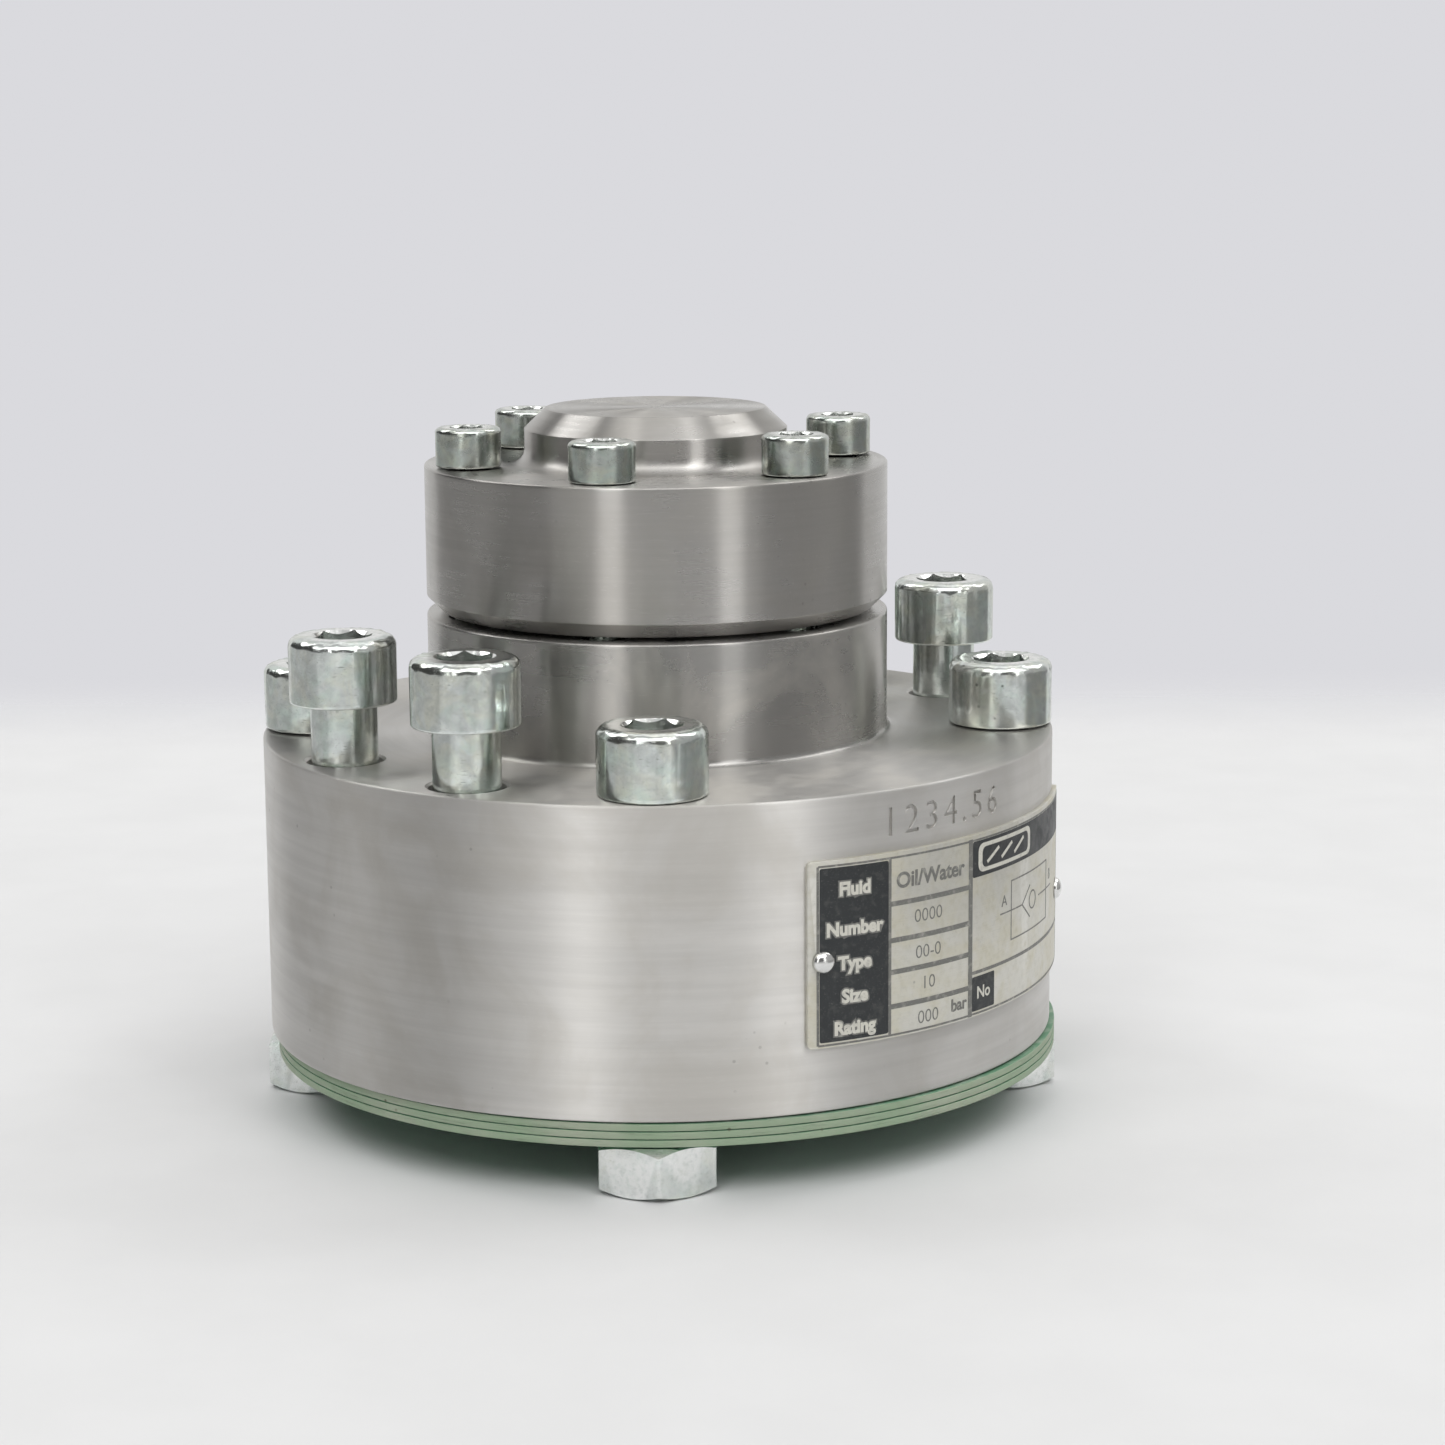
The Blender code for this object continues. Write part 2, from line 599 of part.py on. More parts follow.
def main():
    clear_scene()
    shop = Workshop()
    make_valve_body(shop)
    make_top_cover(shop)
    make_flange_screws(shop)
    make_cover_screws(shop)
    make_hex_nuts(shop)
    make_protection_discs(shop)
    make_nameplate(shop)
    make_nameplate_rivets(shop)
    make_seat_ring(shop)
    make_guide_cage(shop)
    make_poppet(shop)
    make_spring(shop)
    make_seals(shop)


main()
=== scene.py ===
import math

import bpy
from mathutils import Matrix, Vector, noise


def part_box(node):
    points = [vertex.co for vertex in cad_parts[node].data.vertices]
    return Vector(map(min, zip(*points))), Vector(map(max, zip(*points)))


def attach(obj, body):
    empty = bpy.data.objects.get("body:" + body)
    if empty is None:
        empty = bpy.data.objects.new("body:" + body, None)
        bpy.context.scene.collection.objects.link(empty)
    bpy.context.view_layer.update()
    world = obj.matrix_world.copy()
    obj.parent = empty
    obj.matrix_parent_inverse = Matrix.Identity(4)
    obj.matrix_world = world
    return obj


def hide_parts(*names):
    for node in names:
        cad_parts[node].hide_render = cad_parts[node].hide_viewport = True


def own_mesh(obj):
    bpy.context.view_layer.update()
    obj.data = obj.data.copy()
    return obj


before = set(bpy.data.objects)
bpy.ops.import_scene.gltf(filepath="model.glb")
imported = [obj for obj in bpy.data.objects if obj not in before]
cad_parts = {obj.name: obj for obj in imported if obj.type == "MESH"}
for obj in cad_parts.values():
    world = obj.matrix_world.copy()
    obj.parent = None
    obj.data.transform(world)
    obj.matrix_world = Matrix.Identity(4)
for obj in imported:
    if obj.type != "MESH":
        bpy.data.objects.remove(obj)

bl_info = {
    "name": "Check Valve",
    "version": (1, 0, 0),
    "blender": (4, 5, 0),
    "location": "View3D > Sidebar > Check Valve",
    "description": "Models and finishes a flange-mounted hydraulic check valve round its frame",
    "category": "Add Mesh",
}

# Lengths are metres, +Z is up, and azimuths are degrees from the front (-Y), positive towards +X.
MM = 0.001
MERGE_DISTANCE = 0.001 * MM
SMOOTH_ANGLE = math.radians(32)


def middle(node):
    """The centre of a node's box."""
    low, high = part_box(node)
    return (low + high) / 2


# The turned block, its neck and the passages in it
BODY_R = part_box("valve_body")[1].x
BODY_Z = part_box("valve_body")[0].z
NECK_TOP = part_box("valve_body")[1].z
NECK_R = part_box("top_cover")[1].x
NECK_FILLET_R = 0.9 * MM
MAIN_BORE_R = 22.0 * MM
CHAMBER_R = 34.0 * MM
CHAMBER_Z = (30.0 * MM, 46.0 * MM)
SEAT_POCKET_R = 15.0 * MM
SEAT_POCKET_Z = 22.0 * MM
PORT_A_R = 7.5 * MM
PORT_A_SEAL_R = 11.0 * MM
PORT_B_R = 6.0 * MM
PORT_B_SEAL_R = 9.5 * MM
PORT_B_OFFSET = 27.0 * MM
PORT_SEAL_DEPTH = 2.2 * MM
BODY_STEPS = 192

# The large screws and their nuts
HEAD_GAP = 0.15 * MM
FLANGE_SCREWS = [f"flange_screw_{number}" for number in range(1, 9)]
SCREW_BODIES = ["valve"] * 4 + [f"loose_screw_{number}" for number in range(1, 5)]
SCREW = {
    "shank": 5.0 * MM, "length": 55.0 * MM, "head": 8.0 * MM, "head_height": 10.0 * MM,
    "key": 8.0 * MM, "key_depth": 5.0 * MM, "pitch": 1.5 * MM, "thread": 32.0 * MM,
    "rim": 1.5 * MM, "steps": 96,
}
SCREW_TURN = 37.0
SCREW_HOLE_R = 5.75 * MM
FLANGE_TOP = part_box("flange_screw_1")[1].z - SCREW["head_height"] - HEAD_GAP
NUTS = [f"hex_nut_{number}" for number in range(1, 5)]
NUT_TURNS = (3.0, 3.0, 0.0, 0.0)
NUT_AF = 17.0 * MM
NUT_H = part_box("hex_nut_1")[1].z
NUT_BORE_R = 5.2 * MM

# The cover and its small screws
COVER_Z = NECK_TOP + 0.7 * MM
COVER_SCREWS = [f"cover_screw_{number}" for number in range(1, 7)]
SMALL_SCREW = {
    "shank": 3.0 * MM, "length": 35.0 * MM, "head": 5.0 * MM, "head_height": 6.0 * MM,
    "key": 5.0 * MM, "key_depth": 3.0 * MM, "pitch": 1.0 * MM, "thread": 24.0 * MM,
    "rim": 0.8 * MM, "steps": 72,
}
SMALL_SCREW_TURN = 23.0
COVER_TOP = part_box("cover_screw_1")[1].z - SMALL_SCREW["head_height"] - HEAD_GAP
BOSS_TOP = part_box("top_cover")[1].z
BOSS_STRAIGHT_TOP = BOSS_TOP - 3.1 * MM
BOSS_R = 20.3 * MM
BOSS_TOP_R = 17.0 * MM
BOSS_FILLET_R = 2.2 * MM
SPIGOT_R = MAIN_BORE_R - 0.2 * MM
SPIGOT_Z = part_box("top_cover")[0].z
SEAL_GROOVE_R = 19.2 * MM
SEAL_GROOVE_Z = (65.5 * MM, 69.9 * MM)
SPRING_POCKET_R = 7.3 * MM
SPRING_POCKET_TOP = 72.0 * MM
COVER_HOLE_R = 3.3 * MM
TAPPED_HOLE_R = 3.2 * MM
TAPPED_HOLE_DEPTH = 16.0 * MM

# The closing spring
SPRING_WIRE_R = 0.8 * MM
SPRING_COIL_R = 5.9 * MM
SPRING_TURNS = 7
SPRING_Z = (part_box("spring")[0].z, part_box("spring")[1].z)

# The transport discs
DISCS = [f"protection_disc_{number}" for number in range(1, 4)]
DISC_HOLE_R = 5.9 * MM

# The nameplate, its rivets and the stamped number
PLATE_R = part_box("nameplate")[1].x
PLATE_AZ = (20.5, 85.5)
PLATE_T = 0.8 * MM
PLATE_Z = (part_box("nameplate")[0].z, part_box("nameplate")[1].z)
RIVETS = ["nameplate_rivet_1", "nameplate_rivet_2"]
RIVET_AZ = (22.75, 81.0)
RIVET_HEAD_R = 1.65 * MM
RIVET_HEAD_H = 1.0 * MM
RIVET_SHANK_R = 1.1 * MM
RIVET_LENGTH = 5.0 * MM
RIVET_Z = middle("nameplate_rivet_1").z
STAMP_Z = PLATE_Z[1] + 4.1 * MM
# Rings on the wall above and below the stamp and the rivets keep the cuts' long faces apart
WALL_RINGS = (STAMP_Z + 3 * MM, STAMP_Z - 3 * MM, RIVET_Z + 2 * MM, RIVET_Z - 2.4 * MM)
BEND_STEP = 2.0

# The studio's lamps: azimuth, half width, elevation, half height, soft edge and share of the strength
LAMPS = (
    (-22.0, 5.5, 27.0, 26.0, 1.0, 1.0),
    (38.0, 5.5, 27.0, 26.0, 1.0, 0.95),
    (-119.0, 12.0, 47.0, 12.0, 4.0, 1.6),
    (119.0, 12.0, 47.0, 12.0, 4.0, 1.4),
    (0.0, 55.0, 50.0, 10.0, 10.0, 1.15),
)
# Its walls: azimuth, half width, soft edge, brightness above the horizon and below it
WALL = (0.75, 0.70)
WALLS = (
    (0.0, 46.0, 12.0, 0.12, 0.64),
    (-95.0, 40.0, 8.0, 0.05, 0.48),
    (88.0, 32.0, 8.0, 0.42, 0.26),
)


class ValveShape(bpy.types.PropertyGroup):
    """Fine sizes that the frame doesn't give."""

    edge: bpy.props.FloatProperty(
        name="Edge Round", description="Radius on the turned edges", default=0.35 * MM, unit="LENGTH",
    )
    countersink: bpy.props.FloatProperty(
        name="Countersink", description="Chamfer at the mouth of each hole", default=0.35 * MM, unit="LENGTH",
    )
    dents: bpy.props.FloatProperty(
        name="Rim Dents", description="Depth of the dents round a screw head's rim", default=0.15 * MM,
        unit="LENGTH",
    )
    thread_depth: bpy.props.FloatProperty(
        name="Thread Depth", description="Depth of a screw thread as a share of its pitch", default=0.6,
        subtype="FACTOR",
    )
    ink: bpy.props.FloatProperty(
        name="Ink Thickness", description="Height of the print above the nameplate", default=0.03 * MM,
        unit="LENGTH",
    )
    stamp_depth: bpy.props.FloatProperty(
        name="Stamp Depth", description="Depth of the stamped digits", default=0.35 * MM, unit="LENGTH",
    )
    disc_wave: bpy.props.FloatProperty(
        name="Disc Wave", description="How far a disc's rim wanders up and down", default=0.04 * MM,
        unit="LENGTH",
    )


def colour_property(name, description, default):
    return bpy.props.FloatVectorProperty(
        name=name, description=description, default=default, subtype="COLOR", size=3, min=0.0, max=1.0,
    )


class ValveFinish(bpy.types.PropertyGroup):
    """The colours of the finishes."""

    body: colour_property("Body Steel", "Turned block and neck", (0.67, 0.658, 0.636))
    cover: colour_property("Cover Steel", "Turned cover and boss", (0.44, 0.43, 0.415))
    bright_zinc: colour_property("Bright Zinc", "Large screws and nuts", (0.77, 0.815, 0.80))
    dull_zinc: colour_property("Dull Zinc", "Cover screws", (0.54, 0.575, 0.55))
    # Disc faces: the sheet's green darkened with painted shade.
    shaded_disc_face: colour_property("Disc Face", "Faces of the transport discs", (0.12, 0.26, 0.16))
    disc_edge: colour_property("Disc Edge", "Cut edges of the transport discs", (0.265, 0.35, 0.24))
    plate: colour_property("Nameplate", "Bare metal of the nameplate", (0.60, 0.59, 0.53))
    ink: colour_property("Ink", "Printed fields of the nameplate", (0.018, 0.021, 0.023))
    faded_ink: colour_property("Faded Ink", "Printed lines and worn ink", (0.15, 0.15, 0.14))


class StageLook(bpy.types.PropertyGroup):
    """The floor, the light and the lens."""

    floor: colour_property("Floor", "Colour of the floor", (0.69, 0.693, 0.70))
    backdrop: colour_property("Backdrop", "Colour behind the valve", (0.70, 0.70, 0.73))
    strip_strength: bpy.props.FloatProperty(
        name="Strip Lights", description="Brightness of the two tall strip lights", default=2.15,
    )
    overhead_strength: bpy.props.FloatProperty(
        name="Overhead Light", description="Brightness of the light overhead", default=0.45,
    )
    lens: bpy.props.FloatProperty(
        name="Lens", description="Focal length of the camera in millimetres", default=86.9,
        subtype="DISTANCE_CAMERA",
    )


# Modelling


def place_at(radius, azimuth, z=0.0):
    """The point at this radius and azimuth."""
    angle = math.radians(azimuth)
    return Vector((radius * math.sin(angle), -radius * math.cos(angle), z))


def outward(azimuth):
    """The turn that takes +Z to the outward direction at this azimuth."""
    return Matrix.Rotation(math.radians(azimuth), 4, "Z") @ Matrix.Rotation(math.pi / 2, 4, "X")


def pick(*objects):
    """Selects these objects alone, and makes the first one active."""
    bpy.ops.object.select_all(action="DESELECT")
    for obj in objects:
        obj.select_set(True)
    bpy.context.view_layer.objects.active = objects[0]


def add_primitive(name, kind, **options):
    """A new primitive, alone in the selection, with its size and place in its mesh."""
    bpy.ops.object.select_all(action="DESELECT")
    getattr(bpy.ops.mesh, f"primitive_{kind}_add")(**options)
    obj = bpy.context.active_object
    obj.name = name
    obj.data.name = name
    bpy.ops.object.transform_apply(location=True, rotation=True, scale=True)
    return obj


def close_shape():
    """In edit mode: joins the seams and points every face outwards."""
    bpy.ops.mesh.select_all(action="SELECT")
    bpy.ops.mesh.remove_doubles(threshold=MERGE_DISTANCE)
    bpy.ops.mesh.normals_make_consistent(inside=False)


def spun(name, profile, steps):
    """A turned shape: the profile of (radius, height) points is drawn and spun round the Z axis."""
    obj = add_primitive(name, "plane", size=MM)
    bpy.ops.object.mode_set(mode="EDIT")
    bpy.ops.mesh.select_all(action="SELECT")
    bpy.ops.mesh.merge(type="CENTER")
    bpy.ops.transform.translate(value=(profile[0][0], 0.0, profile[0][1]))
    for start, end in zip(profile, profile[1:]):
        step = (end[0] - start[0], 0.0, end[1] - start[1])
        bpy.ops.mesh.extrude_vertices_move(TRANSFORM_OT_translate={"value": step})
    bpy.ops.mesh.select_all(action="SELECT")
    bpy.ops.mesh.spin(steps=steps, angle=math.tau, center=(0, 0, 0), axis=(0, 0, 1))
    close_shape()
    bpy.ops.object.mode_set(mode="OBJECT")
    return obj


def rounded(corners, closed=False, segments=4, guard=0.35 * MM):
    """Profile points through (radius, height, rounding) corners.

    A rounded corner becomes an arc, with a guard point beside each end, so that the flats shade flat.
    """
    points = []
    count = len(corners)
    for i, (r, z, rounding) in enumerate(corners):
        corner = Vector((r, z))
        if rounding == 0 or not closed and i in (0, count - 1):
            points.append(tuple(corner))
            continue
        before = Vector(corners[i - 1][:2]) - corner
        after = Vector(corners[(i + 1) % count][:2]) - corner
        half = before.angle(after) / 2
        reach = rounding / math.tan(half)
        bisector = before.normalized() + after.normalized()
        centre = corner + bisector.normalized() * (rounding / math.sin(half))
        first = corner + before.normalized() * reach
        last = corner + after.normalized() * reach
        if before.length > reach + 2 * guard:
            points.append(tuple(corner + before.normalized() * (reach + guard)))
        spoke_a, spoke_b = first - centre, last - centre
        sweep = spoke_a.angle(spoke_b)
        for k in range(segments + 1):
            share = k / segments
            spoke = spoke_a * math.sin((1 - share) * sweep) + spoke_b * math.sin(share * sweep)
            points.append(tuple(centre + spoke / math.sin(sweep)))
        if after.length > reach + 2 * guard:
            points.append(tuple(corner + after.normalized() * (reach + guard)))
    if closed:
        points.append(points[0])
    return points


def copied(source, name, place):
    """A copy with a mesh of its own, put in place."""
    pick(source)
    bpy.ops.object.duplicate(linked=False)
    copy = bpy.context.active_object
    copy.name = name
    copy.data.name = name
    copy.matrix_world = place
    bpy.ops.object.transform_apply(location=True, rotation=True, scale=True)
    return copy


def joined(objects):
    pick(*objects)
    if len(objects) > 1:
        bpy.ops.object.join()
    return bpy.context.active_object


def cut_with(obj, cutter, operation="DIFFERENCE"):
    """Applies a Boolean with this cutter, which then goes."""
    pick(obj)
    modifier = obj.modifiers.new("cut", "BOOLEAN")
    modifier.operation = operation
    modifier.solver = "EXACT"
    modifier.object = cutter
    bpy.ops.object.modifier_apply(modifier=modifier.name)
    bpy.data.objects.remove(cutter)


def round_cutter(name, radius, low, high, countersink=0.0, steps=48):
    """A straight round cutter on the Z axis that flares at both ends by the countersink.

    It reaches one millimetre past low and high.
    """
    reach = MM
    flare = radius + countersink + reach
    profile = [(0.0, high + reach)]
    if countersink:
        profile += [(flare, high + reach), (radius, high - countersink)]
        profile += [(radius, low + countersink), (flare, low - reach)]
    else:
        profile += [(radius, high + reach), (radius, low - reach)]
    profile.append((0.0, low - reach))
    return spun(name, profile, steps)


def copies_at(cutter, nodes, shift=(0, 0, 0)):
    """A copy of the cutter on each node's upright axis. The cutter itself then goes."""
    copies = []
    for name in nodes:
        place = middle(name) * Vector((1, 1, 0)) - Vector(shift)
        copies.append(copied(cutter, "hole", Matrix.Translation(place)))
    bpy.data.objects.remove(cutter)
    return copies


def rivet_holes(inner, outer):
    """Cutters for the rivets' holes, from one radius out to another."""
    hole = round_cutter("hole", RIVET_SHANK_R + HEAD_GAP, inner, outer, 0.0, 24)
    copies = []
    for name, azimuth in zip(RIVETS, RIVET_AZ):
        copies.append(copied(hole, "hole", Matrix.Translation((0, 0, middle(name).z)) @ outward(azimuth)))
    bpy.data.objects.remove(hole)
    return copies


def dent(obj, low, high, depth, grain):
    """Uneven dents between two heights, from a fixed noise."""
    for vertex in obj.data.vertices:
        if low <= vertex.co.z <= high:
            vertex.co += vertex.normal * depth * noise.noise(vertex.co / grain)


def finish(obj, material, body, slot, *nodes):
    """Shades a piece, gives it its material and its body, and hides the CAD nodes it stands for."""
    pick(obj)
    bpy.ops.object.shade_smooth_by_angle(angle=SMOOTH_ANGLE)
    obj.data.materials.clear()
    obj.data.materials.append(material)
    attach(obj, body)
    if nodes:
        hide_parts(*nodes)
    return obj


# Materials

finishes = {}


def node(tree, kind, inputs=None, **settings):
    """A shader node. inputs maps an input's name or number to its value, or to the socket it reads."""
    made = tree.nodes.new("ShaderNode" + kind)
    for name, value in settings.items():
        setattr(made, name, value)
    for key, value in (inputs or {}).items():
        if isinstance(value, bpy.types.NodeSocket):
            tree.links.new(value, made.inputs[key])
        else:
            made.inputs[key].default_value = value
    return made


def maths(tree, operation, *values):
    return node(tree, "Math", dict(enumerate(values)), operation=operation).outputs[0]


def ramp(tree, value, low, high, to_low=0.0, to_high=1.0):
    """A value carried smoothly from one range to another."""
    inputs = {"Value": value, "From Min": low, "From Max": high, "To Min": to_low, "To Max": to_high}
    return node(tree, "MapRange", inputs, interpolation_type="SMOOTHSTEP").outputs["Result"]


def mixed(tree, share, first, second):
    """A colour between two."""
    made = node(tree, "Mix", data_type="RGBA")
    for socket, value in ((made.inputs[0], share), (made.inputs[6], first), (made.inputs[7], second)):
        if isinstance(value, bpy.types.NodeSocket):
            tree.links.new(value, socket)
        elif socket == made.inputs[0]:
            socket.default_value = value
        else:
            socket.default_value = (*value[:3], 1.0)
    return made.outputs[2]


def shaded(colour, share):
    """A colour at a share of its brightness."""
    return tuple(share * value for value in colour)


def new_group(name, inputs, outputs):
    """An empty node group, with its input sockets' outputs and its output sockets' inputs."""
    tree = bpy.data.node_groups.new(name, "ShaderNodeTree")
    for label, default in inputs.items():
        socket = tree.interface.new_socket(label, in_out="INPUT", socket_type="NodeSocketFloat")
        socket.default_value = default
    for label in outputs:
        tree.interface.new_socket(label, in_out="OUTPUT", socket_type="NodeSocketFloat")
    return tree, tree.nodes.new("NodeGroupInput").outputs, tree.nodes.new("NodeGroupOutput").inputs


def use_group(tree, name, **inputs):
    made = tree.nodes.new("ShaderNodeGroup")
    made.node_tree = bpy.data.node_groups[name]
    for label, value in inputs.items():
        socket = made.inputs[label.replace("_", " ")]
        if isinstance(value, bpy.types.NodeSocket):
            tree.links.new(value, socket)
        else:
            socket.default_value = value
    return made.outputs


def make_turning_marks():
    """Grooves and bands that run round the Z axis: along the height on walls, along the radius on flats."""
    tree, given, result = new_group(
        "turning_marks", {"Pitch": 0.2 * MM, "Band": 1.5 * MM, "Seed": 0.0}, ("Groove", "Bands"),
    )
    coordinates = node(tree, "TexCoord").outputs
    place = node(tree, "SeparateXYZ", {0: coordinates["Object"]}).outputs
    facing = node(tree, "SeparateXYZ", {0: coordinates["Normal"]}).outputs
    around = node(tree, "CombineXYZ", {0: place[0], 1: place[1]}).outputs[0]
    radius = node(tree, "VectorMath", {0: around}, operation="LENGTH").outputs["Value"]
    is_flat = maths(tree, "GREATER_THAN", maths(tree, "ABSOLUTE", facing[2]), 0.6)
    along = node(tree, "Mix", {0: is_flat, 2: place[2], 3: radius}).outputs[0]
    heading = node(tree, "VectorMath", {0: around}, operation="NORMALIZE").outputs[0]
    heading = node(tree, "SeparateXYZ", {0: heading}).outputs
    for label, width, wander in (("Groove", "Pitch", 0.9), ("Bands", "Band", 1.4)):
        steps = maths(tree, "DIVIDE", along, given[width])
        parts = {0: steps, 1: maths(tree, "MULTIPLY", heading[0], wander)}
        parts[2] = maths(tree, "ADD", maths(tree, "MULTIPLY", heading[1], wander), given["Seed"])
        vector = node(tree, "CombineXYZ", parts).outputs[0]
        inputs = {"Vector": vector, "Scale": 1.0, "Detail": 3.0, "Roughness": 0.65}
        tree.links.new(node(tree, "TexNoise", inputs).outputs["Fac"], result[label])


def make_handling():
    """Finger smudges, fine scratches and specks of dirt, as masks."""
    tree, given, result = new_group(
        "handling", {"Smudge Size": 14.0 * MM, "Scratch Size": 6.0 * MM, "Seed": 0.0},
        ("Smudge", "Scratch", "Specks"),
    )
    place = node(tree, "TexCoord").outputs["Object"]
    shift = node(tree, "CombineXYZ", {0: given["Seed"], 1: given["Seed"], 2: given["Seed"]}).outputs[0]
    moved = node(tree, "VectorMath", {0: place, 1: shift}, operation="ADD").outputs[0]
    smudge_scale = maths(tree, "DIVIDE", 1.0, given["Smudge Size"])
    inputs = {"Vector": moved, "Scale": smudge_scale, "Detail": 4.0, "Roughness": 0.6, "Distortion": 0.6}
    smudge = node(tree, "TexNoise", inputs).outputs["Fac"]
    tree.links.new(ramp(tree, smudge, 0.38, 0.68), result["Smudge"])
    scratch_scale = maths(tree, "DIVIDE", 1.0, given["Scratch Size"])
    scratches = None
    for angle, stretch in ((0.5, 14.0), (-0.9, 18.0)):
        inputs = {"Vector": moved, "Rotation": (angle, angle, 0.4), "Scale": (1.0, stretch, stretch)}
        turned = node(tree, "Mapping", inputs).outputs[0]
        inputs = {"Vector": turned, "Scale": scratch_scale, "Detail": 1.0}
        line = ramp(tree, node(tree, "TexNoise", inputs).outputs["Fac"], 0.69, 0.74)
        scratches = line if scratches is None else maths(tree, "MAXIMUM", scratches, line)
    tree.links.new(scratches, result["Scratch"])
    inputs = {"Vector": moved, "Scale": 420.0}
    distance = node(tree, "TexVoronoi", inputs).outputs["Distance"]
    patch = node(tree, "TexNoise", {"Vector": moved, "Scale": 90.0, "Detail": 2.0}).outputs["Fac"]
    speck = maths(tree, "MULTIPLY", ramp(tree, distance, 0.14, 0.07), ramp(tree, patch, 0.58, 0.66))
    tree.links.new(speck, result["Specks"])


def make_rim_wear_and_highlight():
    """Rims painted bright, partly as rubbing wear and partly as a painted highlight, broken up by a fine
    noise.
    """
    tree, given, result = new_group("rim_wear_and_highlight", {"Width": 0.03, "Grain": 1.5 * MM}, ("Edge",))
    point = node(tree, "NewGeometry").outputs["Pointiness"]
    high = maths(tree, "ADD", given["Width"], 0.51)
    edge = node(tree, "MapRange", {"Value": point, "From Min": 0.51, "From Max": high}).outputs[0]
    scale = maths(tree, "DIVIDE", 1.0, given["Grain"])
    inputs = {"Vector": node(tree, "TexCoord").outputs["Object"], "Scale": scale}
    patch = node(tree, "TexNoise", inputs).outputs["Fac"]
    tree.links.new(maths(tree, "MULTIPLY", edge, ramp(tree, patch, 0.25, 0.6, 0.45)), result["Edge"])


def make_plating_tint():
    """Patches of blue, green and yellow that zinc plating shows, as two values from 0 to 1."""
    tree, given, result = new_group("plating_tint", {"Patch Size": 5.0 * MM, "Seed": 0.0}, ("Warm", "Green"))
    place = node(tree, "TexCoord").outputs["Object"]
    scale = maths(tree, "DIVIDE", 1.0, given["Patch Size"])
    for label, offset in (("Warm", 0.0), ("Green", 0.3)):
        shift = maths(tree, "ADD", given["Seed"], offset)
        vector = node(tree, "CombineXYZ", {0: shift, 1: shift, 2: shift}).outputs[0]
        moved = node(tree, "VectorMath", {0: place, 1: vector}, operation="ADD").outputs[0]
        inputs = {"Vector": moved, "Scale": scale, "Detail": 3.0, "Roughness": 0.6, "Distortion": 0.8}
        patch = node(tree, "TexNoise", inputs).outputs["Fac"]
        tree.links.new(ramp(tree, patch, 0.4, 0.66), result[label])


def make_skin():
    """The finest unevenness of a surface."""
    tree, given, result = new_group("skin", {"Grain": 1.0 * MM, "Detail": 3.0}, ("Skin",))
    scale = maths(tree, "DIVIDE", 1.0, given["Grain"])
    inputs = {"Vector": node(tree, "TexCoord").outputs["Object"], "Scale": scale, "Detail": given["Detail"]}
    tree.links.new(node(tree, "TexNoise", inputs).outputs["Fac"], result["Skin"])


def make_dust():
    """Dust that settles on faces that look up."""
    tree, given, result = new_group("dust", {"Amount": 0.3, "Grain": 2.5 * MM}, ("Dust",))
    coordinates = node(tree, "TexCoord").outputs
    up = node(tree, "SeparateXYZ", {0: coordinates["Normal"]}).outputs[2]
    scale = maths(tree, "DIVIDE", 1.0, given["Grain"])
    inputs = {"Vector": coordinates["Object"], "Scale": scale, "Detail": 6.0}
    patch = ramp(tree, node(tree, "TexNoise", inputs).outputs["Fac"], 0.42, 0.75)
    settled = maths(tree, "MULTIPLY", patch, ramp(tree, up, 0.6, 0.95))
    tree.links.new(maths(tree, "MULTIPLY", settled, given["Amount"]), result["Dust"])


def new_material(name):
    """A material that holds only a Principled BSDF, as (material, tree, shader)."""
    material = bpy.data.materials.new(name)
    finishes[name] = material
    material.use_nodes = True
    tree = material.node_tree
    return material, tree, tree.nodes["Principled BSDF"]


def wire(tree, shader, colour, roughness, height=None, distance=0.01 * MM, strength=1.0):
    """Feeds the shader's colour, its roughness and, through a Bump node, its normal."""
    tree.links.new(colour, shader.inputs["Base Color"])
    tree.links.new(roughness, shader.inputs["Roughness"])
    if height is not None:
        bump = node(tree, "Bump", {"Height": height, "Distance": distance, "Strength": strength})
        tree.links.new(bump.outputs["Normal"], shader.inputs["Normal"])


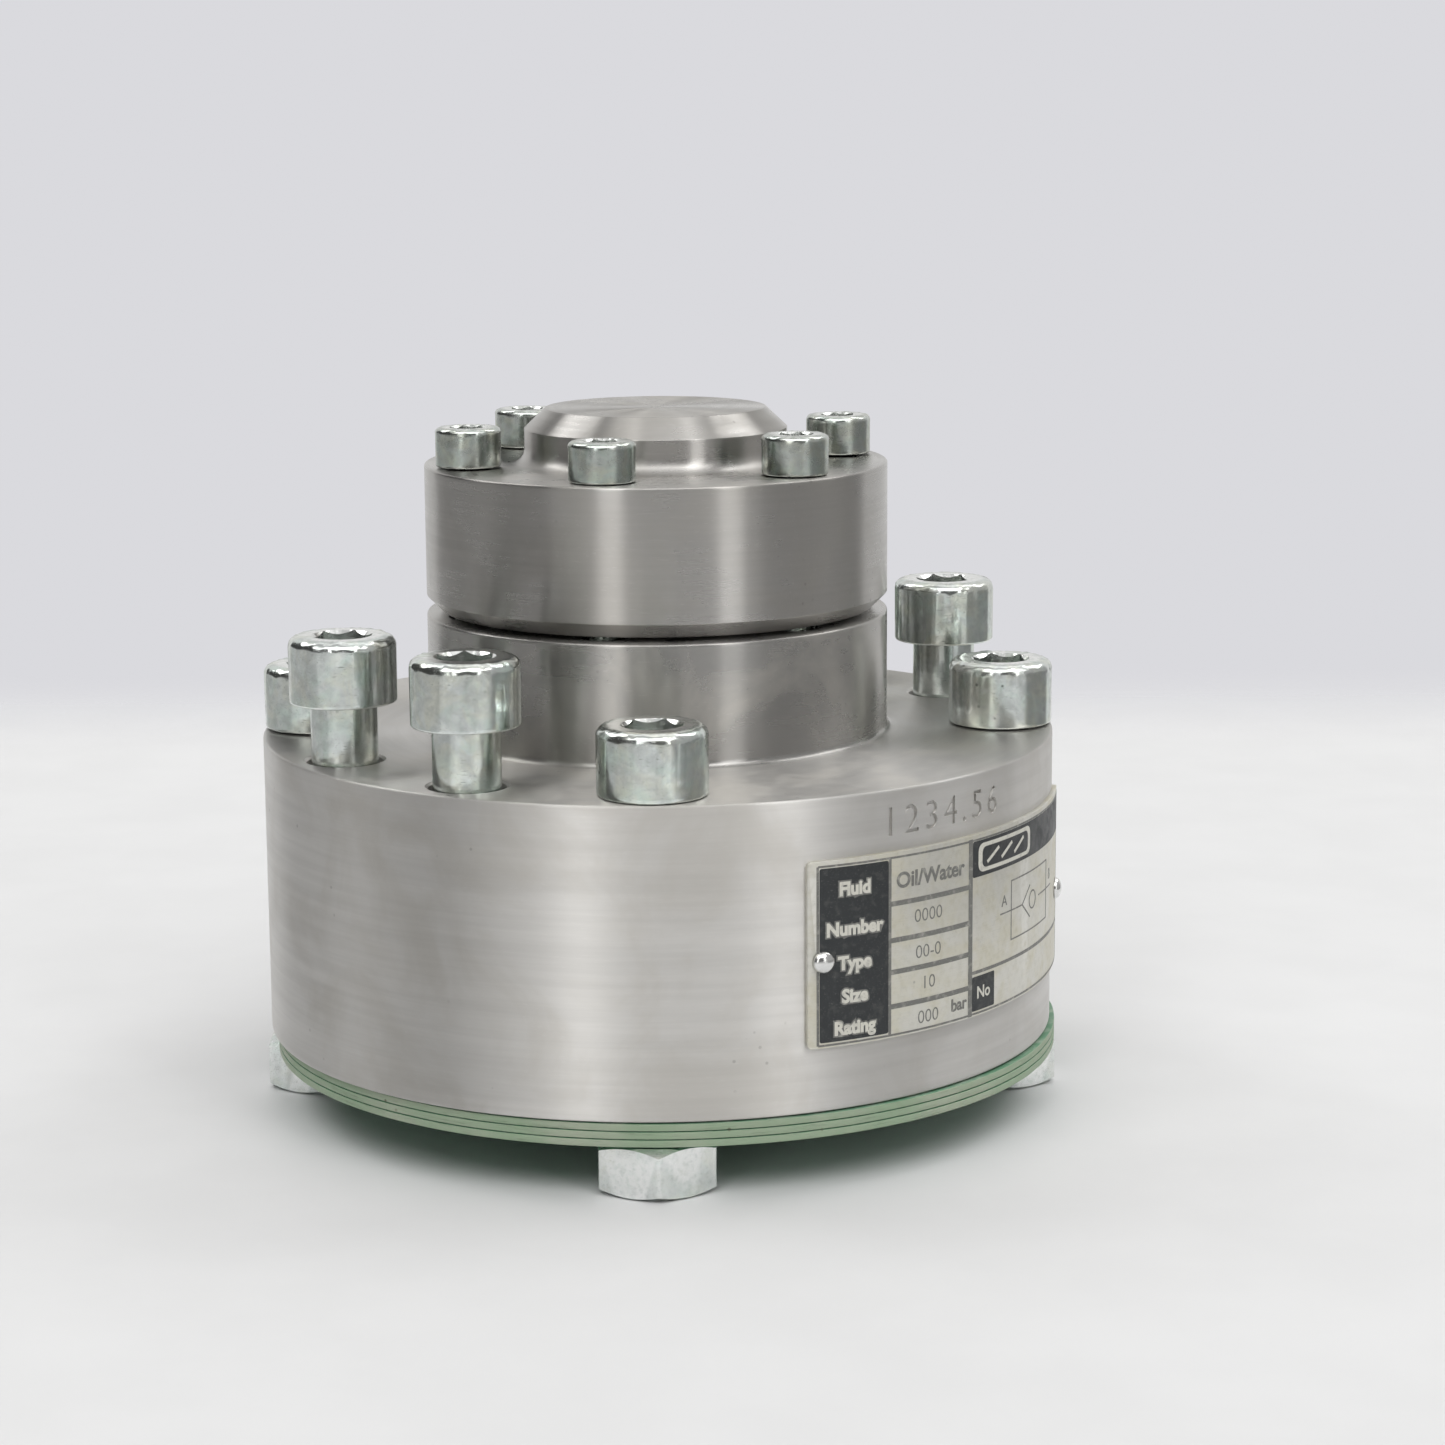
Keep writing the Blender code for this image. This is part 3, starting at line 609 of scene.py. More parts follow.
def turned_steel(name, colour, roughness, spread, band, seed, fine_and_shaded_from=None):
    """Turned steel: grooves round the axis spread its highlights along the height.

    Above the given height it is turned finer and smoother, and its colour is darkened there as painted shade.
    """
    material, tree, shader = new_material(name)
    shader.inputs["Metallic"].default_value = 1.0 if fine_and_shaded_from is None else 0.86
    shader.inputs["Anisotropic"].default_value = spread
    shader.inputs["Anisotropic Rotation"].default_value = 0.25
    marks = use_group(tree, "turning_marks", Pitch=0.22 * MM, Band=band, Seed=seed)
    handling = use_group(tree, "handling", Smudge_Size=16.0 * MM, Scratch_Size=5.0 * MM, Seed=seed * 0.01)
    dust = use_group(tree, "dust", Amount=0.2)["Dust"]
    bands = ramp(tree, marks["Bands"], 0.3, 0.7)
    base = mixed(tree, maths(tree, "MULTIPLY", bands, 0.5), colour, shaded(colour, 0.86))
    if fine_and_shaded_from is not None:
        height = node(tree, "SeparateXYZ", {0: node(tree, "TexCoord").outputs["Object"]}).outputs[2]
        fine = ramp(tree, height, fine_and_shaded_from, fine_and_shaded_from + 0.3 * MM)
        # Painted shade: above that height the base colour drops to 0.52 of its brightness, darkening the
        # flange top and the neck.
        base = mixed(tree, fine, base, shaded(colour, 0.52))
    smudge_tint = (colour[0] * 0.84, colour[1] * 0.82, colour[2] * 0.78)
    base = mixed(tree, maths(tree, "MULTIPLY", handling["Smudge"], 0.45), base, smudge_tint)
    base = mixed(tree, maths(tree, "MULTIPLY", handling["Scratch"], 0.08), base, (0.8, 0.79, 0.77))
    base = mixed(tree, dust, base, (0.62, 0.60, 0.56))
    base = mixed(tree, maths(tree, "MULTIPLY", handling["Specks"], 0.3), base, (0.12, 0.11, 0.1))
    rough = maths(tree, "MULTIPLY_ADD", handling["Smudge"], 0.07, roughness)
    rough = maths(tree, "MULTIPLY_ADD", bands, 0.04, rough)
    if fine_and_shaded_from is not None:
        rough = maths(tree, "MULTIPLY_ADD", fine, -0.2, rough)
    rough = maths(tree, "MULTIPLY_ADD", dust, 0.25, rough)
    wire(tree, shader, base, rough, marks["Groove"], 0.002 * MM)
    return material


def zinc_plating(name, colour, roughness, patch, seed):
    """Bright passivated zinc with patches of colour, a mottled skin, small dents, and rims painted bright as
    rubbing wear and painted highlight.
    """
    material, tree, shader = new_material(name)
    shader.inputs["Metallic"].default_value = 1.0
    tint = use_group(tree, "plating_tint", Patch_Size=patch, Seed=seed)
    handling = use_group(tree, "handling", Smudge_Size=4.0 * MM, Scratch_Size=2.0 * MM, Seed=seed)
    edge = use_group(tree, "rim_wear_and_highlight", Width=0.08, Grain=0.7 * MM)["Edge"]
    dust = use_group(tree, "dust", Amount=0.3, Grain=0.9 * MM)["Dust"]
    waves = use_group(tree, "skin", Grain=2.6 * MM, Detail=1.0)["Skin"]
    mottle = use_group(tree, "skin", Grain=1.6 * MM, Detail=6.0)["Skin"]
    warm = (colour[0] * 1.04, colour[1] * 0.98, colour[2] * 0.82)
    green = (colour[0] * 0.84, colour[1] * 1.0, colour[2] * 0.9)
    base = mixed(tree, maths(tree, "MULTIPLY", tint["Green"], 0.5), colour, green)
    base = mixed(tree, maths(tree, "MULTIPLY", tint["Warm"], 0.5), base, warm)
    dull = shaded(colour, 0.6)
    base = mixed(tree, ramp(tree, mottle, 0.4, 0.68, 0.0, 0.4), base, dull)
    base = mixed(tree, maths(tree, "MULTIPLY", handling["Smudge"], 0.4), base, dull)
    base = mixed(tree, maths(tree, "MULTIPLY", handling["Scratch"], 0.6), base, (0.22, 0.23, 0.22))
    base = mixed(tree, maths(tree, "MULTIPLY", handling["Specks"], 0.8), base, (0.13, 0.14, 0.13))
    # Painted highlight and rubbing wear: the rims are lightened to near white.
    base = mixed(tree, edge, base, (0.95, 0.96, 0.95))
    base = mixed(tree, dust, base, (0.5, 0.5, 0.47))
    rough = maths(tree, "MULTIPLY_ADD", ramp(tree, mottle, 0.45, 0.7), 0.08, roughness)
    rough = maths(tree, "MULTIPLY_ADD", handling["Smudge"], 0.03, rough)
    rough = maths(tree, "MULTIPLY_ADD", dust, 0.2, rough)
    height = maths(tree, "MULTIPLY_ADD", handling["Scratch"], -0.1, waves)
    height = maths(tree, "MULTIPLY_ADD", mottle, 0.06, height)
    wire(tree, shader, base, rough, height, 0.05 * MM)
    return material


def disc_material(finish_colours):
    """Green sheet whose faces are darkened with painted shade and whose cut edges are paler, dusty and
    streaked along the cut.
    """
    material, tree, shader = new_material("green_transport_disc")
    shader.inputs["Specular IOR Level"].default_value = 0.4
    shader.inputs["Subsurface Weight"].default_value = 0.15
    shader.inputs["Subsurface Radius"].default_value = (0.6, 1.0, 0.6)
    shader.inputs["Subsurface Scale"].default_value = 0.8 * MM
    coordinates = node(tree, "TexCoord").outputs
    facing = node(tree, "SeparateXYZ", {0: coordinates["Normal"]}).outputs[2]
    on_edge = ramp(tree, maths(tree, "ABSOLUTE", facing), 0.8, 0.4)
    flat = node(tree, "Mapping", {"Vector": coordinates["Object"], "Scale": (1.0, 1.0, 14.0)}).outputs[0]
    inputs = {"Vector": flat, "Scale": 160.0, "Detail": 4.0, "Roughness": 0.6}
    streak = node(tree, "TexNoise", inputs).outputs["Fac"]
    blotch = use_group(tree, "skin", Grain=14.0 * MM)["Skin"]
    handling = use_group(tree, "handling", Smudge_Size=9.0 * MM, Scratch_Size=4.0 * MM)
    dust = use_group(tree, "dust", Amount=0.4)["Dust"]
    edge = finish_colours.disc_edge
    dusty = (edge[0] * 1.25, edge[1] * 1.08, edge[2] * 1.2)
    cut = mixed(tree, ramp(tree, blotch, 0.4, 0.65), edge, dusty)
    cut = mixed(tree, ramp(tree, streak, 0.55, 0.75, 0.0, 0.6), cut, shaded(edge, 0.55))
    # The faces take the disc face colour, which carries painted shade; the cut edges keep the sheet's own
    # paler colour.
    base = mixed(tree, on_edge, finish_colours.shaded_disc_face, cut)
    base = mixed(tree, maths(tree, "MULTIPLY", handling["Specks"], 0.8), base, (0.09, 0.08, 0.05))
    base = mixed(tree, dust, base, (0.55, 0.56, 0.5))
    rough = maths(tree, "MULTIPLY_ADD", handling["Smudge"], 0.15, 0.5)
    height = maths(tree, "MULTIPLY_ADD", streak, on_edge, blotch)
    wire(tree, shader, base, rough, height, 0.05 * MM)
    return material


def plate_material(finish_colours):
    """Satin aluminium sheet, rolled in one direction, a little yellowed, and painted bright at its rims as
    rubbing wear and painted highlight.
    """
    material, tree, shader = new_material("nameplate_aluminium")
    shader.inputs["Metallic"].default_value = 0.75
    place = node(tree, "TexCoord").outputs["Object"]
    rolled = node(tree, "Mapping", {"Vector": place, "Scale": (1.0, 1.0, 30.0)}).outputs[0]
    grain = node(tree, "TexNoise", {"Vector": rolled, "Scale": 260.0, "Detail": 3.0}).outputs["Fac"]
    handling = use_group(tree, "handling", Smudge_Size=6.0 * MM, Scratch_Size=3.0 * MM, Seed=0.02)
    edge = use_group(tree, "rim_wear_and_highlight", Width=0.06, Grain=1.0 * MM)["Edge"]
    colour = finish_colours.plate
    yellowed = (colour[0] * 0.97, colour[1] * 0.94, colour[2] * 0.82)
    base = mixed(tree, handling["Smudge"], colour, yellowed)
    base = mixed(tree, ramp(tree, grain, 0.4, 0.7, 0.0, 0.25), base, shaded(colour, 0.75))
    base = mixed(tree, maths(tree, "MULTIPLY", handling["Scratch"], 0.4), base, (0.35, 0.34, 0.31))
    base = mixed(tree, maths(tree, "MULTIPLY", handling["Specks"], 0.7), base, (0.14, 0.13, 0.11))
    # Painted highlight and rubbing wear: the rims are lightened.
    base = mixed(tree, maths(tree, "MULTIPLY", edge, 0.7), base, (0.82, 0.81, 0.77))
    rough = maths(tree, "MULTIPLY_ADD", handling["Smudge"], 0.1, 0.42)
    wire(tree, shader, base, rough, grain, 0.01 * MM)
    return material


def ink_material(name, colour, worn_colour, wear):
    """Printed ink that is rubbed thin in places."""
    material, tree, shader = new_material(name)
    handling = use_group(tree, "handling", Smudge_Size=3.0 * MM, Scratch_Size=2.0 * MM, Seed=0.05)
    fine = use_group(tree, "skin", Grain=1.1 * MM, Detail=4.0)["Skin"]
    rubbed = maths(tree, "MULTIPLY", ramp(tree, fine, 0.5, 0.75), wear)
    base = mixed(tree, rubbed, colour, worn_colour)
    base = mixed(tree, maths(tree, "MULTIPLY", handling["Scratch"], 0.5), base, worn_colour)
    rough = maths(tree, "MULTIPLY_ADD", handling["Smudge"], 0.15, 0.4)
    wire(tree, shader, base, rough, fine, 0.01 * MM)
    return material


def polished_steel(name, colour, roughness, grain):
    """Ground or polished steel with fine marks round its axis."""
    material, tree, shader = new_material(name)
    shader.inputs["Metallic"].default_value = 1.0
    marks = use_group(tree, "turning_marks", Pitch=grain, Band=0.8 * MM, Seed=3.0)
    handling = use_group(tree, "handling", Smudge_Size=4.0 * MM, Scratch_Size=2.0 * MM, Seed=0.03)
    edge = use_group(tree, "rim_wear_and_highlight", Width=0.05)["Edge"]
    base = mixed(tree, ramp(tree, marks["Bands"], 0.35, 0.7, 0.0, 0.3), colour, shaded(colour, 0.7))
    base = mixed(tree, maths(tree, "MULTIPLY", handling["Smudge"], 0.3), base, shaded(colour, 0.75))
    # Painted highlight and rubbing wear: the rims are lightened to near white.
    base = mixed(tree, edge, base, (0.9, 0.9, 0.89))
    rough = maths(tree, "MULTIPLY_ADD", handling["Smudge"], 0.1, roughness)
    wire(tree, shader, base, rough, marks["Groove"], 0.004 * MM)
    return material


def soft_material(name, colour, roughness):
    """Moulded rubber or plastic with a fine skin and some dust."""
    material, tree, shader = new_material(name)
    handling = use_group(tree, "handling", Smudge_Size=3.0 * MM, Scratch_Size=2.0 * MM)
    fine = use_group(tree, "skin", Grain=0.4 * MM)["Skin"]
    paler = tuple(min(1.0, 1.6 * value + 0.01) for value in colour)
    base = mixed(tree, maths(tree, "MULTIPLY", handling["Smudge"], 0.5), colour, paler)
    rough = maths(tree, "MULTIPLY_ADD", handling["Smudge"], 0.15, roughness)
    wire(tree, shader, base, rough, fine, 0.02 * MM)
    return material


def make_materials(scene):
    """Every group and material, by name."""
    make_turning_marks()
    make_handling()
    make_rim_wear_and_highlight()
    make_plating_tint()
    make_skin()
    make_dust()
    colours = scene.valve_finish
    # The body's flange top and neck get painted shade above this height.
    turned_steel("turned_body_steel", colours.body, 0.44, 0.95, 1.6 * MM, 0.0, FLANGE_TOP - 0.17 * MM)
    turned_steel("turned_cover_steel", colours.cover, 0.25, 0.98, 0.9 * MM, 5.0)
    zinc_plating("bright_zinc_plating", colours.bright_zinc, 0.15, 5.0 * MM, 0.0)
    zinc_plating("dull_zinc_plating", colours.dull_zinc, 0.2, 3.0 * MM, 0.04)
    disc_material(colours)
    plate_material(colours)
    ink_material("black_ink", colours.ink, colours.faded_ink, 0.2)
    ink_material("grey_ink", colours.faded_ink, colours.plate, 0.35)
    ink_material("pale_letters", colours.plate, colours.faded_ink, 0.3)
    polished_steel("rivet_head_steel", (0.78, 0.78, 0.77), 0.2, 0.3 * MM)
    polished_steel("ground_steel", (0.6, 0.6, 0.59), 0.2, 0.1 * MM)
    polished_steel("spring_wire", (0.33, 0.33, 0.35), 0.33, 0.3 * MM)
    soft_material("seal_rubber", (0.022, 0.022, 0.024), 0.5)
    soft_material("backup_plastic", (0.72, 0.70, 0.64), 0.45)


def material(name):
    if name not in finishes:
        raise RuntimeError(f"the finish {name} isn't made yet; run Finishes first")
    return finishes[name]


# Pieces


def make_valve_body(shape):
    """The turned block and neck with every hole, and the stamped number."""
    edge = shape.edge
    corners = [
        (MAIN_BORE_R, NECK_TOP, 0.5 * MM),
        (NECK_R, NECK_TOP, edge),
        (NECK_R, FLANGE_TOP, NECK_FILLET_R),
        (BODY_R, FLANGE_TOP, edge),
        *((BODY_R, z, 0.0) for z in WALL_RINGS),
        (BODY_R, BODY_Z, 0.3 * MM),
        (PORT_A_SEAL_R, BODY_Z, 0.15 * MM),
        (PORT_A_SEAL_R, BODY_Z + PORT_SEAL_DEPTH, 0.0),
        (PORT_A_R, BODY_Z + PORT_SEAL_DEPTH, 0.0),
        (PORT_A_R, SEAT_POCKET_Z, 0.0),
        (SEAT_POCKET_R, SEAT_POCKET_Z, 0.0),
        (SEAT_POCKET_R, CHAMBER_Z[0], 0.0),
        (CHAMBER_R, CHAMBER_Z[0], 0.0),
        (CHAMBER_R, CHAMBER_Z[1], 0.0),
        (MAIN_BORE_R, CHAMBER_Z[1], 0.0),
    ]
    body = spun("valve_body_turned", rounded(corners, closed=True), BODY_STEPS)
    hole = round_cutter("hole", SCREW_HOLE_R, BODY_Z, FLANGE_TOP, shape.countersink)
    cutters = copies_at(hole, FLANGE_SCREWS)
    low = NECK_TOP - TAPPED_HOLE_DEPTH
    tapped = round_cutter("hole", TAPPED_HOLE_R, low + MM, NECK_TOP, shape.countersink, 32)
    cutters += copies_at(tapped, COVER_SCREWS)
    port = round_cutter("hole", PORT_B_R, BODY_Z, sum(CHAMBER_Z) / 2)
    seal = round_cutter("hole", PORT_B_SEAL_R, BODY_Z, BODY_Z + PORT_SEAL_DEPTH - MM)
    for cutter in (port, seal):
        cutter.data.transform(Matrix.Translation((0, PORT_B_OFFSET, 0)))
    cut_with(body, port)
    cut_with(body, seal)
    cutters += rivet_holes(BODY_R - RIVET_LENGTH, BODY_R)
    cut_with(body, joined(cutters))
    digits = lettering("stamp", "1234.56", 6.0 * MM, 43.5, STAMP_Z, BODY_R, shape.stamp_depth, 0.0, 1.3)
    cut_with(body, digits)
    finish(body, material("turned_body_steel"), "valve", "body_steel", "valve_body")


def make_top_cover(shape):
    """The cover with its chamfered boss, its spigot and its screw holes."""
    edge = shape.edge
    chamfer = 2.2 * MM
    corners = [
        (0.0, BOSS_TOP, 0.0),
        (BOSS_TOP_R, BOSS_TOP, 0.15 * MM),
        (BOSS_R, BOSS_STRAIGHT_TOP, 0.15 * MM),
        (BOSS_R, COVER_TOP, BOSS_FILLET_R),
        (NECK_R, COVER_TOP, edge),
        (NECK_R, COVER_Z + chamfer, 0.2 * MM),
        (NECK_R - chamfer, COVER_Z, 0.2 * MM),
        (SPIGOT_R, COVER_Z, 0.0),
        (SPIGOT_R, SEAL_GROOVE_Z[1], 0.15 * MM),
        (SEAL_GROOVE_R, SEAL_GROOVE_Z[1], 0.0),
        (SEAL_GROOVE_R, SEAL_GROOVE_Z[0], 0.0),
        (SPIGOT_R, SEAL_GROOVE_Z[0], 0.15 * MM),
        (SPIGOT_R, SPIGOT_Z, 0.8 * MM),
        (SPRING_POCKET_R, SPIGOT_Z, 0.3 * MM),
        (SPRING_POCKET_R, SPRING_POCKET_TOP, 0.0),
        (0.0, SPRING_POCKET_TOP, 0.0),
    ]
    cover = spun("top_cover_turned", rounded(corners), BODY_STEPS)
    hole = round_cutter("hole", COVER_HOLE_R, COVER_Z, COVER_TOP, 0.25 * MM, 32)
    cut_with(cover, joined(copies_at(hole, COVER_SCREWS)))
    finish(cover, material("turned_cover_steel"), "valve", "cover_steel", "top_cover")


def cut_thread(obj, low, high, pitch, depth):
    """Moves the shank's rings between two heights into a thread that fades out at both ends."""
    for vertex in obj.data.vertices:
        x, y, z = vertex.co
        radius = math.hypot(x, y)
        if not low <= z <= high or radius == 0:
            continue
        phase = (z / pitch - math.atan2(y, x) / math.tau) % 1.0
        groove = 1 - abs(2 * phase - 1)
        fade = min(1.0, (z - low) / pitch, (high - z) / (1.5 * pitch))
        share = 1 - depth * max(0.0, fade) * groove / radius
        vertex.co.x *= share
        vertex.co.y *= share


def socket_screw(name, size, shape):
    """A socket head cap screw on the Z axis, with the underside of its head at z = 0."""
    head_r, head_h, shank = size["head"], size["head_height"], size["shank"]
    head = rounded([
        (0.0, head_h, 0.0),
        (head_r, head_h, size["rim"]),
        (head_r, 0.0, 0.35 * MM),
        (shank, 0.0, 0.2 * MM),
        (shank, -2 * MM, 0.0),
    ], segments=6)
    rings_per_pitch = 6
    tip = -size["length"]
    chamfer = size["pitch"] * 0.6
    start = tip + size["thread"]
    count = round((size["thread"] - chamfer) / size["pitch"] * rings_per_pitch)
    rings = [(shank, start + (tip + chamfer - start) * i / count) for i in range(count + 1)]
    profile = head + rings + [(shank - chamfer, tip), (0.0, tip)]
    screw = spun(name, profile, size["steps"])
    depth = shape.thread_depth * size["pitch"]
    cut_thread(screw, tip + 0.5 * chamfer, start, size["pitch"], depth)
    corner_r = size["key"] / 2 / math.cos(math.pi / 6)
    floor = head_h - size["key_depth"]
    key = add_primitive(
        "key", "cylinder", vertices=6, radius=corner_r, depth=size["key_depth"] + MM,
        location=(0, 0, floor + (size["key_depth"] + MM) / 2),
    )
    cut_with(screw, key)
    lead = 0.12 * size["key"]
    mouth = add_primitive(
        "mouth", "cone", vertices=48, radius1=corner_r - lead, radius2=corner_r + lead, depth=2 * lead,
        location=(0, 0, head_h + lead * 0.1),
    )
    cut_with(screw, mouth)
    drill = add_primitive(
        "drill", "cone", vertices=32, radius1=0.0, radius2=size["key"] * 0.48, depth=size["key"] * 0.24,
        location=(0, 0, floor - size["key"] * 0.1),
    )
    cut_with(screw, drill)
    return screw


def make_screws(names, bodies, size, turn, material_name, slot, shape):
    master = socket_screw("screw", size, shape)
    for number, (name, body) in enumerate(zip(names, bodies), start=1):
        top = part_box(name)[1].z
        centre = middle(name)
        place = Matrix.Translation((centre.x, centre.y, top - size["head_height"]))
        turned = place @ Matrix.Rotation(math.radians(turn * number), 4, "Z")
        screw = copied(master, name + "_zinc", turned)
        rim = size["rim"]
        dent(screw, top - 1.25 * rim, top - 0.02 * rim, shape.dents * size["head"] / (8 * MM), 0.8 * MM)
        finish(screw, material(material_name), body, slot, name)
    bpy.data.objects.remove(master)


def make_hex_nuts(shape):
    """Four hexagon nuts, chamfered on both faces, with a thread in the bore."""
    corner_r = NUT_AF / 2 / math.cos(math.pi / 6)
    face_r = NUT_AF / 2 * 0.95
    slope = math.tan(math.radians(30))
    outside = corner_r + 0.5 * MM
    drop = (outside - face_r) * slope
    pitch = SCREW["pitch"]
    count = round(NUT_H / pitch * 6)
    bore = [(NUT_BORE_R, NUT_H * i / count) for i in range(count + 1)]
    bore[0] = (NUT_BORE_R + 0.5 * MM, 0.0)
    bore[-1] = (NUT_BORE_R + 0.5 * MM, NUT_H)
    rim = rounded([
        (bore[-1][0], NUT_H, 0.0),
        (face_r, NUT_H, 0.6 * MM),
        (outside, NUT_H - drop, 0.0),
        (outside, drop, 0.0),
        (face_r, 0.0, 0.6 * MM),
        (bore[0][0], 0.0, 0.0),
    ])
    blank = spun("nut", rim + bore[1:], 96)
    for vertex in blank.data.vertices:
        x, y, z = vertex.co
        radius = math.hypot(x, y)
        if radius < NUT_BORE_R + 0.1 * MM and 0 < z < NUT_H:
            phase = (z / pitch - math.atan2(y, x) / math.tau) % 1.0
            share = 1 + 0.45 * pitch * (1 - abs(2 * phase - 1)) / radius
            vertex.co.x *= share
            vertex.co.y *= share
    prism = add_primitive(
        "prism", "cylinder", vertices=6, radius=corner_r, depth=NUT_H + 2 * MM, location=(0, 0, NUT_H / 2),
    )
    pick(prism)
    bevel = prism.modifiers.new("edge", "BEVEL")
    bevel.width = 0.25 * MM
    bevel.segments = 3
    bpy.ops.object.modifier_apply(modifier=bevel.name)
    cut_with(blank, prism, "INTERSECT")
    for number, (name, turn) in enumerate(zip(NUTS, NUT_TURNS), start=1):
        centre = middle(name)
        turned = Matrix.Rotation(math.radians(turn), 4, "Z")
        nut = copied(blank, name + "_zinc", Matrix.Translation((centre.x, centre.y, 0)) @ turned)
        dent(nut, 0.05 * MM, NUT_H - 0.05 * MM, 0.3 * shape.dents, 1.5 * MM)
        finish(nut, material("bright_zinc_plating"), "valve", "bright_zinc", name)
    bpy.data.objects.remove(blank)


def make_protection_discs(shape):
    """Three discs with four screw holes each, whose rims wander together."""
    low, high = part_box(DISCS[0])
    radius, thickness = (high.x - low.x) / 2 - 0.1 * MM, high.z - low.z - 0.04 * MM
    corners = [
        (0.0, thickness, 0.0), (radius, thickness, 0.07 * MM), (radius, 0.0, 0.07 * MM), (0.0, 0.0, 0.0),
    ]
    blank = spun("disc", rounded(corners, segments=3), 256)
    shift = middle(DISCS[0]) * Vector((1, 1, 0))
    hole = round_cutter("hole", DISC_HOLE_R, 0.0, thickness, 0.0, 48)
    seated = FLANGE_SCREWS[:len(NUTS)]
    cut_with(blank, joined(copies_at(hole, seated, shift)))
    for number, name in enumerate(DISCS):
        disc = copied(blank, name + "_green", Matrix.Translation(shift + Vector((0, 0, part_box(name)[0].z))))
        for vertex in disc.data.vertices:
            away = vertex.co - shift
            out = math.hypot(away.x, away.y)
            if out < 0.9 * radius:
                continue
            heading = Vector((away.x / out, away.y / out, 0.0))
            rise = shape.disc_wave * noise.noise(heading * 3.0)
            inset = 0.12 * MM * abs(noise.noise(heading * 9.0 + Vector((0, 0, 4.0 * number))))
            vertex.co += Vector((0, 0, rise)) - heading * inset
        finish(disc, material("green_transport_disc"), "valve", "green_disc", name)
    bpy.data.objects.remove(blank)


def bend_round(obj, radius):
    """Bends a flat piece round the Z axis: X becomes the way round and -Y the way out."""
    for vertex in obj.data.vertices:
        angle = vertex.co.x / radius
        out = radius - vertex.co.y
        vertex.co = (out * math.sin(angle), -out * math.cos(angle), vertex.co.z)


def wrapped_sheet(name, centre, size, radius, thickness, corner=0.0, tilt=0.0):
    """A thin sheet round the Z axis: its centre is an (azimuth, height), its size a (width, height)."""
    sheet = add_primitive(name, "plane", size=1.0, rotation=(math.pi / 2, 0, 0))
    bpy.ops.object.mode_set(mode="EDIT")
    bpy.ops.mesh.select_all(action="SELECT")
    bpy.ops.transform.resize(value=(size[0], 1.0, size[1]))
    if corner:
        bpy.ops.mesh.bevel(offset=corner, segments=5, affect="VERTICES")
    bpy.ops.object.mode_set(mode="OBJECT")
    middle_x = math.radians(centre[0]) * radius
    sheet.data.transform(Matrix.Translation((middle_x, 0, centre[1])) @ Matrix.Rotation(-tilt, 4, "Y"))
    reach = (size[0] * abs(math.cos(tilt)) + size[1] * abs(math.sin(tilt))) / 2
    count = math.ceil(2 * reach / (math.radians(BEND_STEP) * radius))
    bpy.ops.object.mode_set(mode="EDIT")
    for i in range(1, count):
        bpy.ops.mesh.select_all(action="SELECT")
        bpy.ops.mesh.bisect(plane_co=(middle_x + reach * (2 * i / count - 1), 0, 0), plane_no=(1, 0, 0))
    bpy.ops.mesh.select_all(action="SELECT")
    bpy.ops.mesh.extrude_region_move(TRANSFORM_OT_translate={"value": (0, -thickness, 0)})
    close_shape()
    bpy.ops.object.mode_set(mode="OBJECT")
    bend_round(sheet, radius)
    return sheet


def panel(azimuths, heights, radius, thickness, corner=0.0):
    """A wrapped sheet between two azimuths and two heights."""
    centre = (sum(azimuths) / 2, sum(heights) / 2)
    size = (math.radians(azimuths[1] - azimuths[0]) * radius, heights[1] - heights[0])
    return wrapped_sheet("panel", centre, size, radius, thickness, corner)


def line(start, end, width, radius, thickness):
    """A wrapped sheet along a straight line between two (azimuth, height) points."""
    across = math.radians(end[0] - start[0]) * radius
    up = end[1] - start[1]
    centre = ((start[0] + end[0]) / 2, (start[1] + end[1]) / 2)
    size = (math.hypot(across, up) + width, width)
    return wrapped_sheet("line", centre, size, radius, thickness, tilt=math.atan2(up, across))


def lettering(name, words, size, azimuth, z, radius, thickness, swell=0.0, spacing=1.0):
    """Words as a thin curved solid that reaches the thickness to both sides of the radius."""
    bpy.ops.object.select_all(action="DESELECT")
    bpy.ops.object.text_add(rotation=(math.pi / 2, 0, 0))
    text = bpy.context.active_object
    text.data.body = words
    text.data.size = size
    text.data.offset = swell
    text.data.extrude = thickness
    text.data.space_character = spacing
    text.data.resolution_u = 4
    text.data.align_x = "CENTER"
    text.data.align_y = "CENTER"
    bpy.ops.object.convert(target="MESH")
    text = bpy.context.active_object
    text.name = name
    text.data.name = name
    bpy.ops.object.transform_apply(location=True, rotation=True, scale=True)
    bpy.ops.object.mode_set(mode="EDIT")
    bpy.ops.mesh.select_all(action="SELECT")
    bpy.ops.transform.translate(value=(math.radians(azimuth) * radius, 0, z))
    close_shape()
    bpy.ops.object.mode_set(mode="OBJECT")
    bend_round(text, radius)
    return text


def make_nameplate():
    """The curved plate with its rounded corners and rivet holes."""
    inner = PLATE_R - PLATE_T
    plate = panel(PLATE_AZ, PLATE_Z, inner, PLATE_T, 0.8 * MM)
    cut_with(plate, joined(rivet_holes(inner, PLATE_R)))
    pick(plate)
    bevel = plate.modifiers.new("edge", "BEVEL")
    bevel.width = 0.1 * MM
    bevel.segments = 2
    bevel.limit_method = "ANGLE"
    bpy.ops.object.modifier_apply(modifier=bevel.name)
    finish(plate, material("nameplate_aluminium"), "valve", "plate_aluminium", "nameplate")


# The printed rows: label, and the lower and upper edge in millimetres above the block's underside
ROWS = (
    ("Fluid", 29.8, 35.3),
    ("Number", 24.4, 29.1),
    ("Type", 19.7, 23.7),
    ("Size", 14.6, 19.0),
    ("Rating", 10.4, 13.9),
)
LABELS_AZ = (22.2, 32.6)
SMALL_FIELD_AZ = (48.2, 53.4)


def above(height):
    """A height in millimetres above the underside of the block."""
    return BODY_Z + height * MM


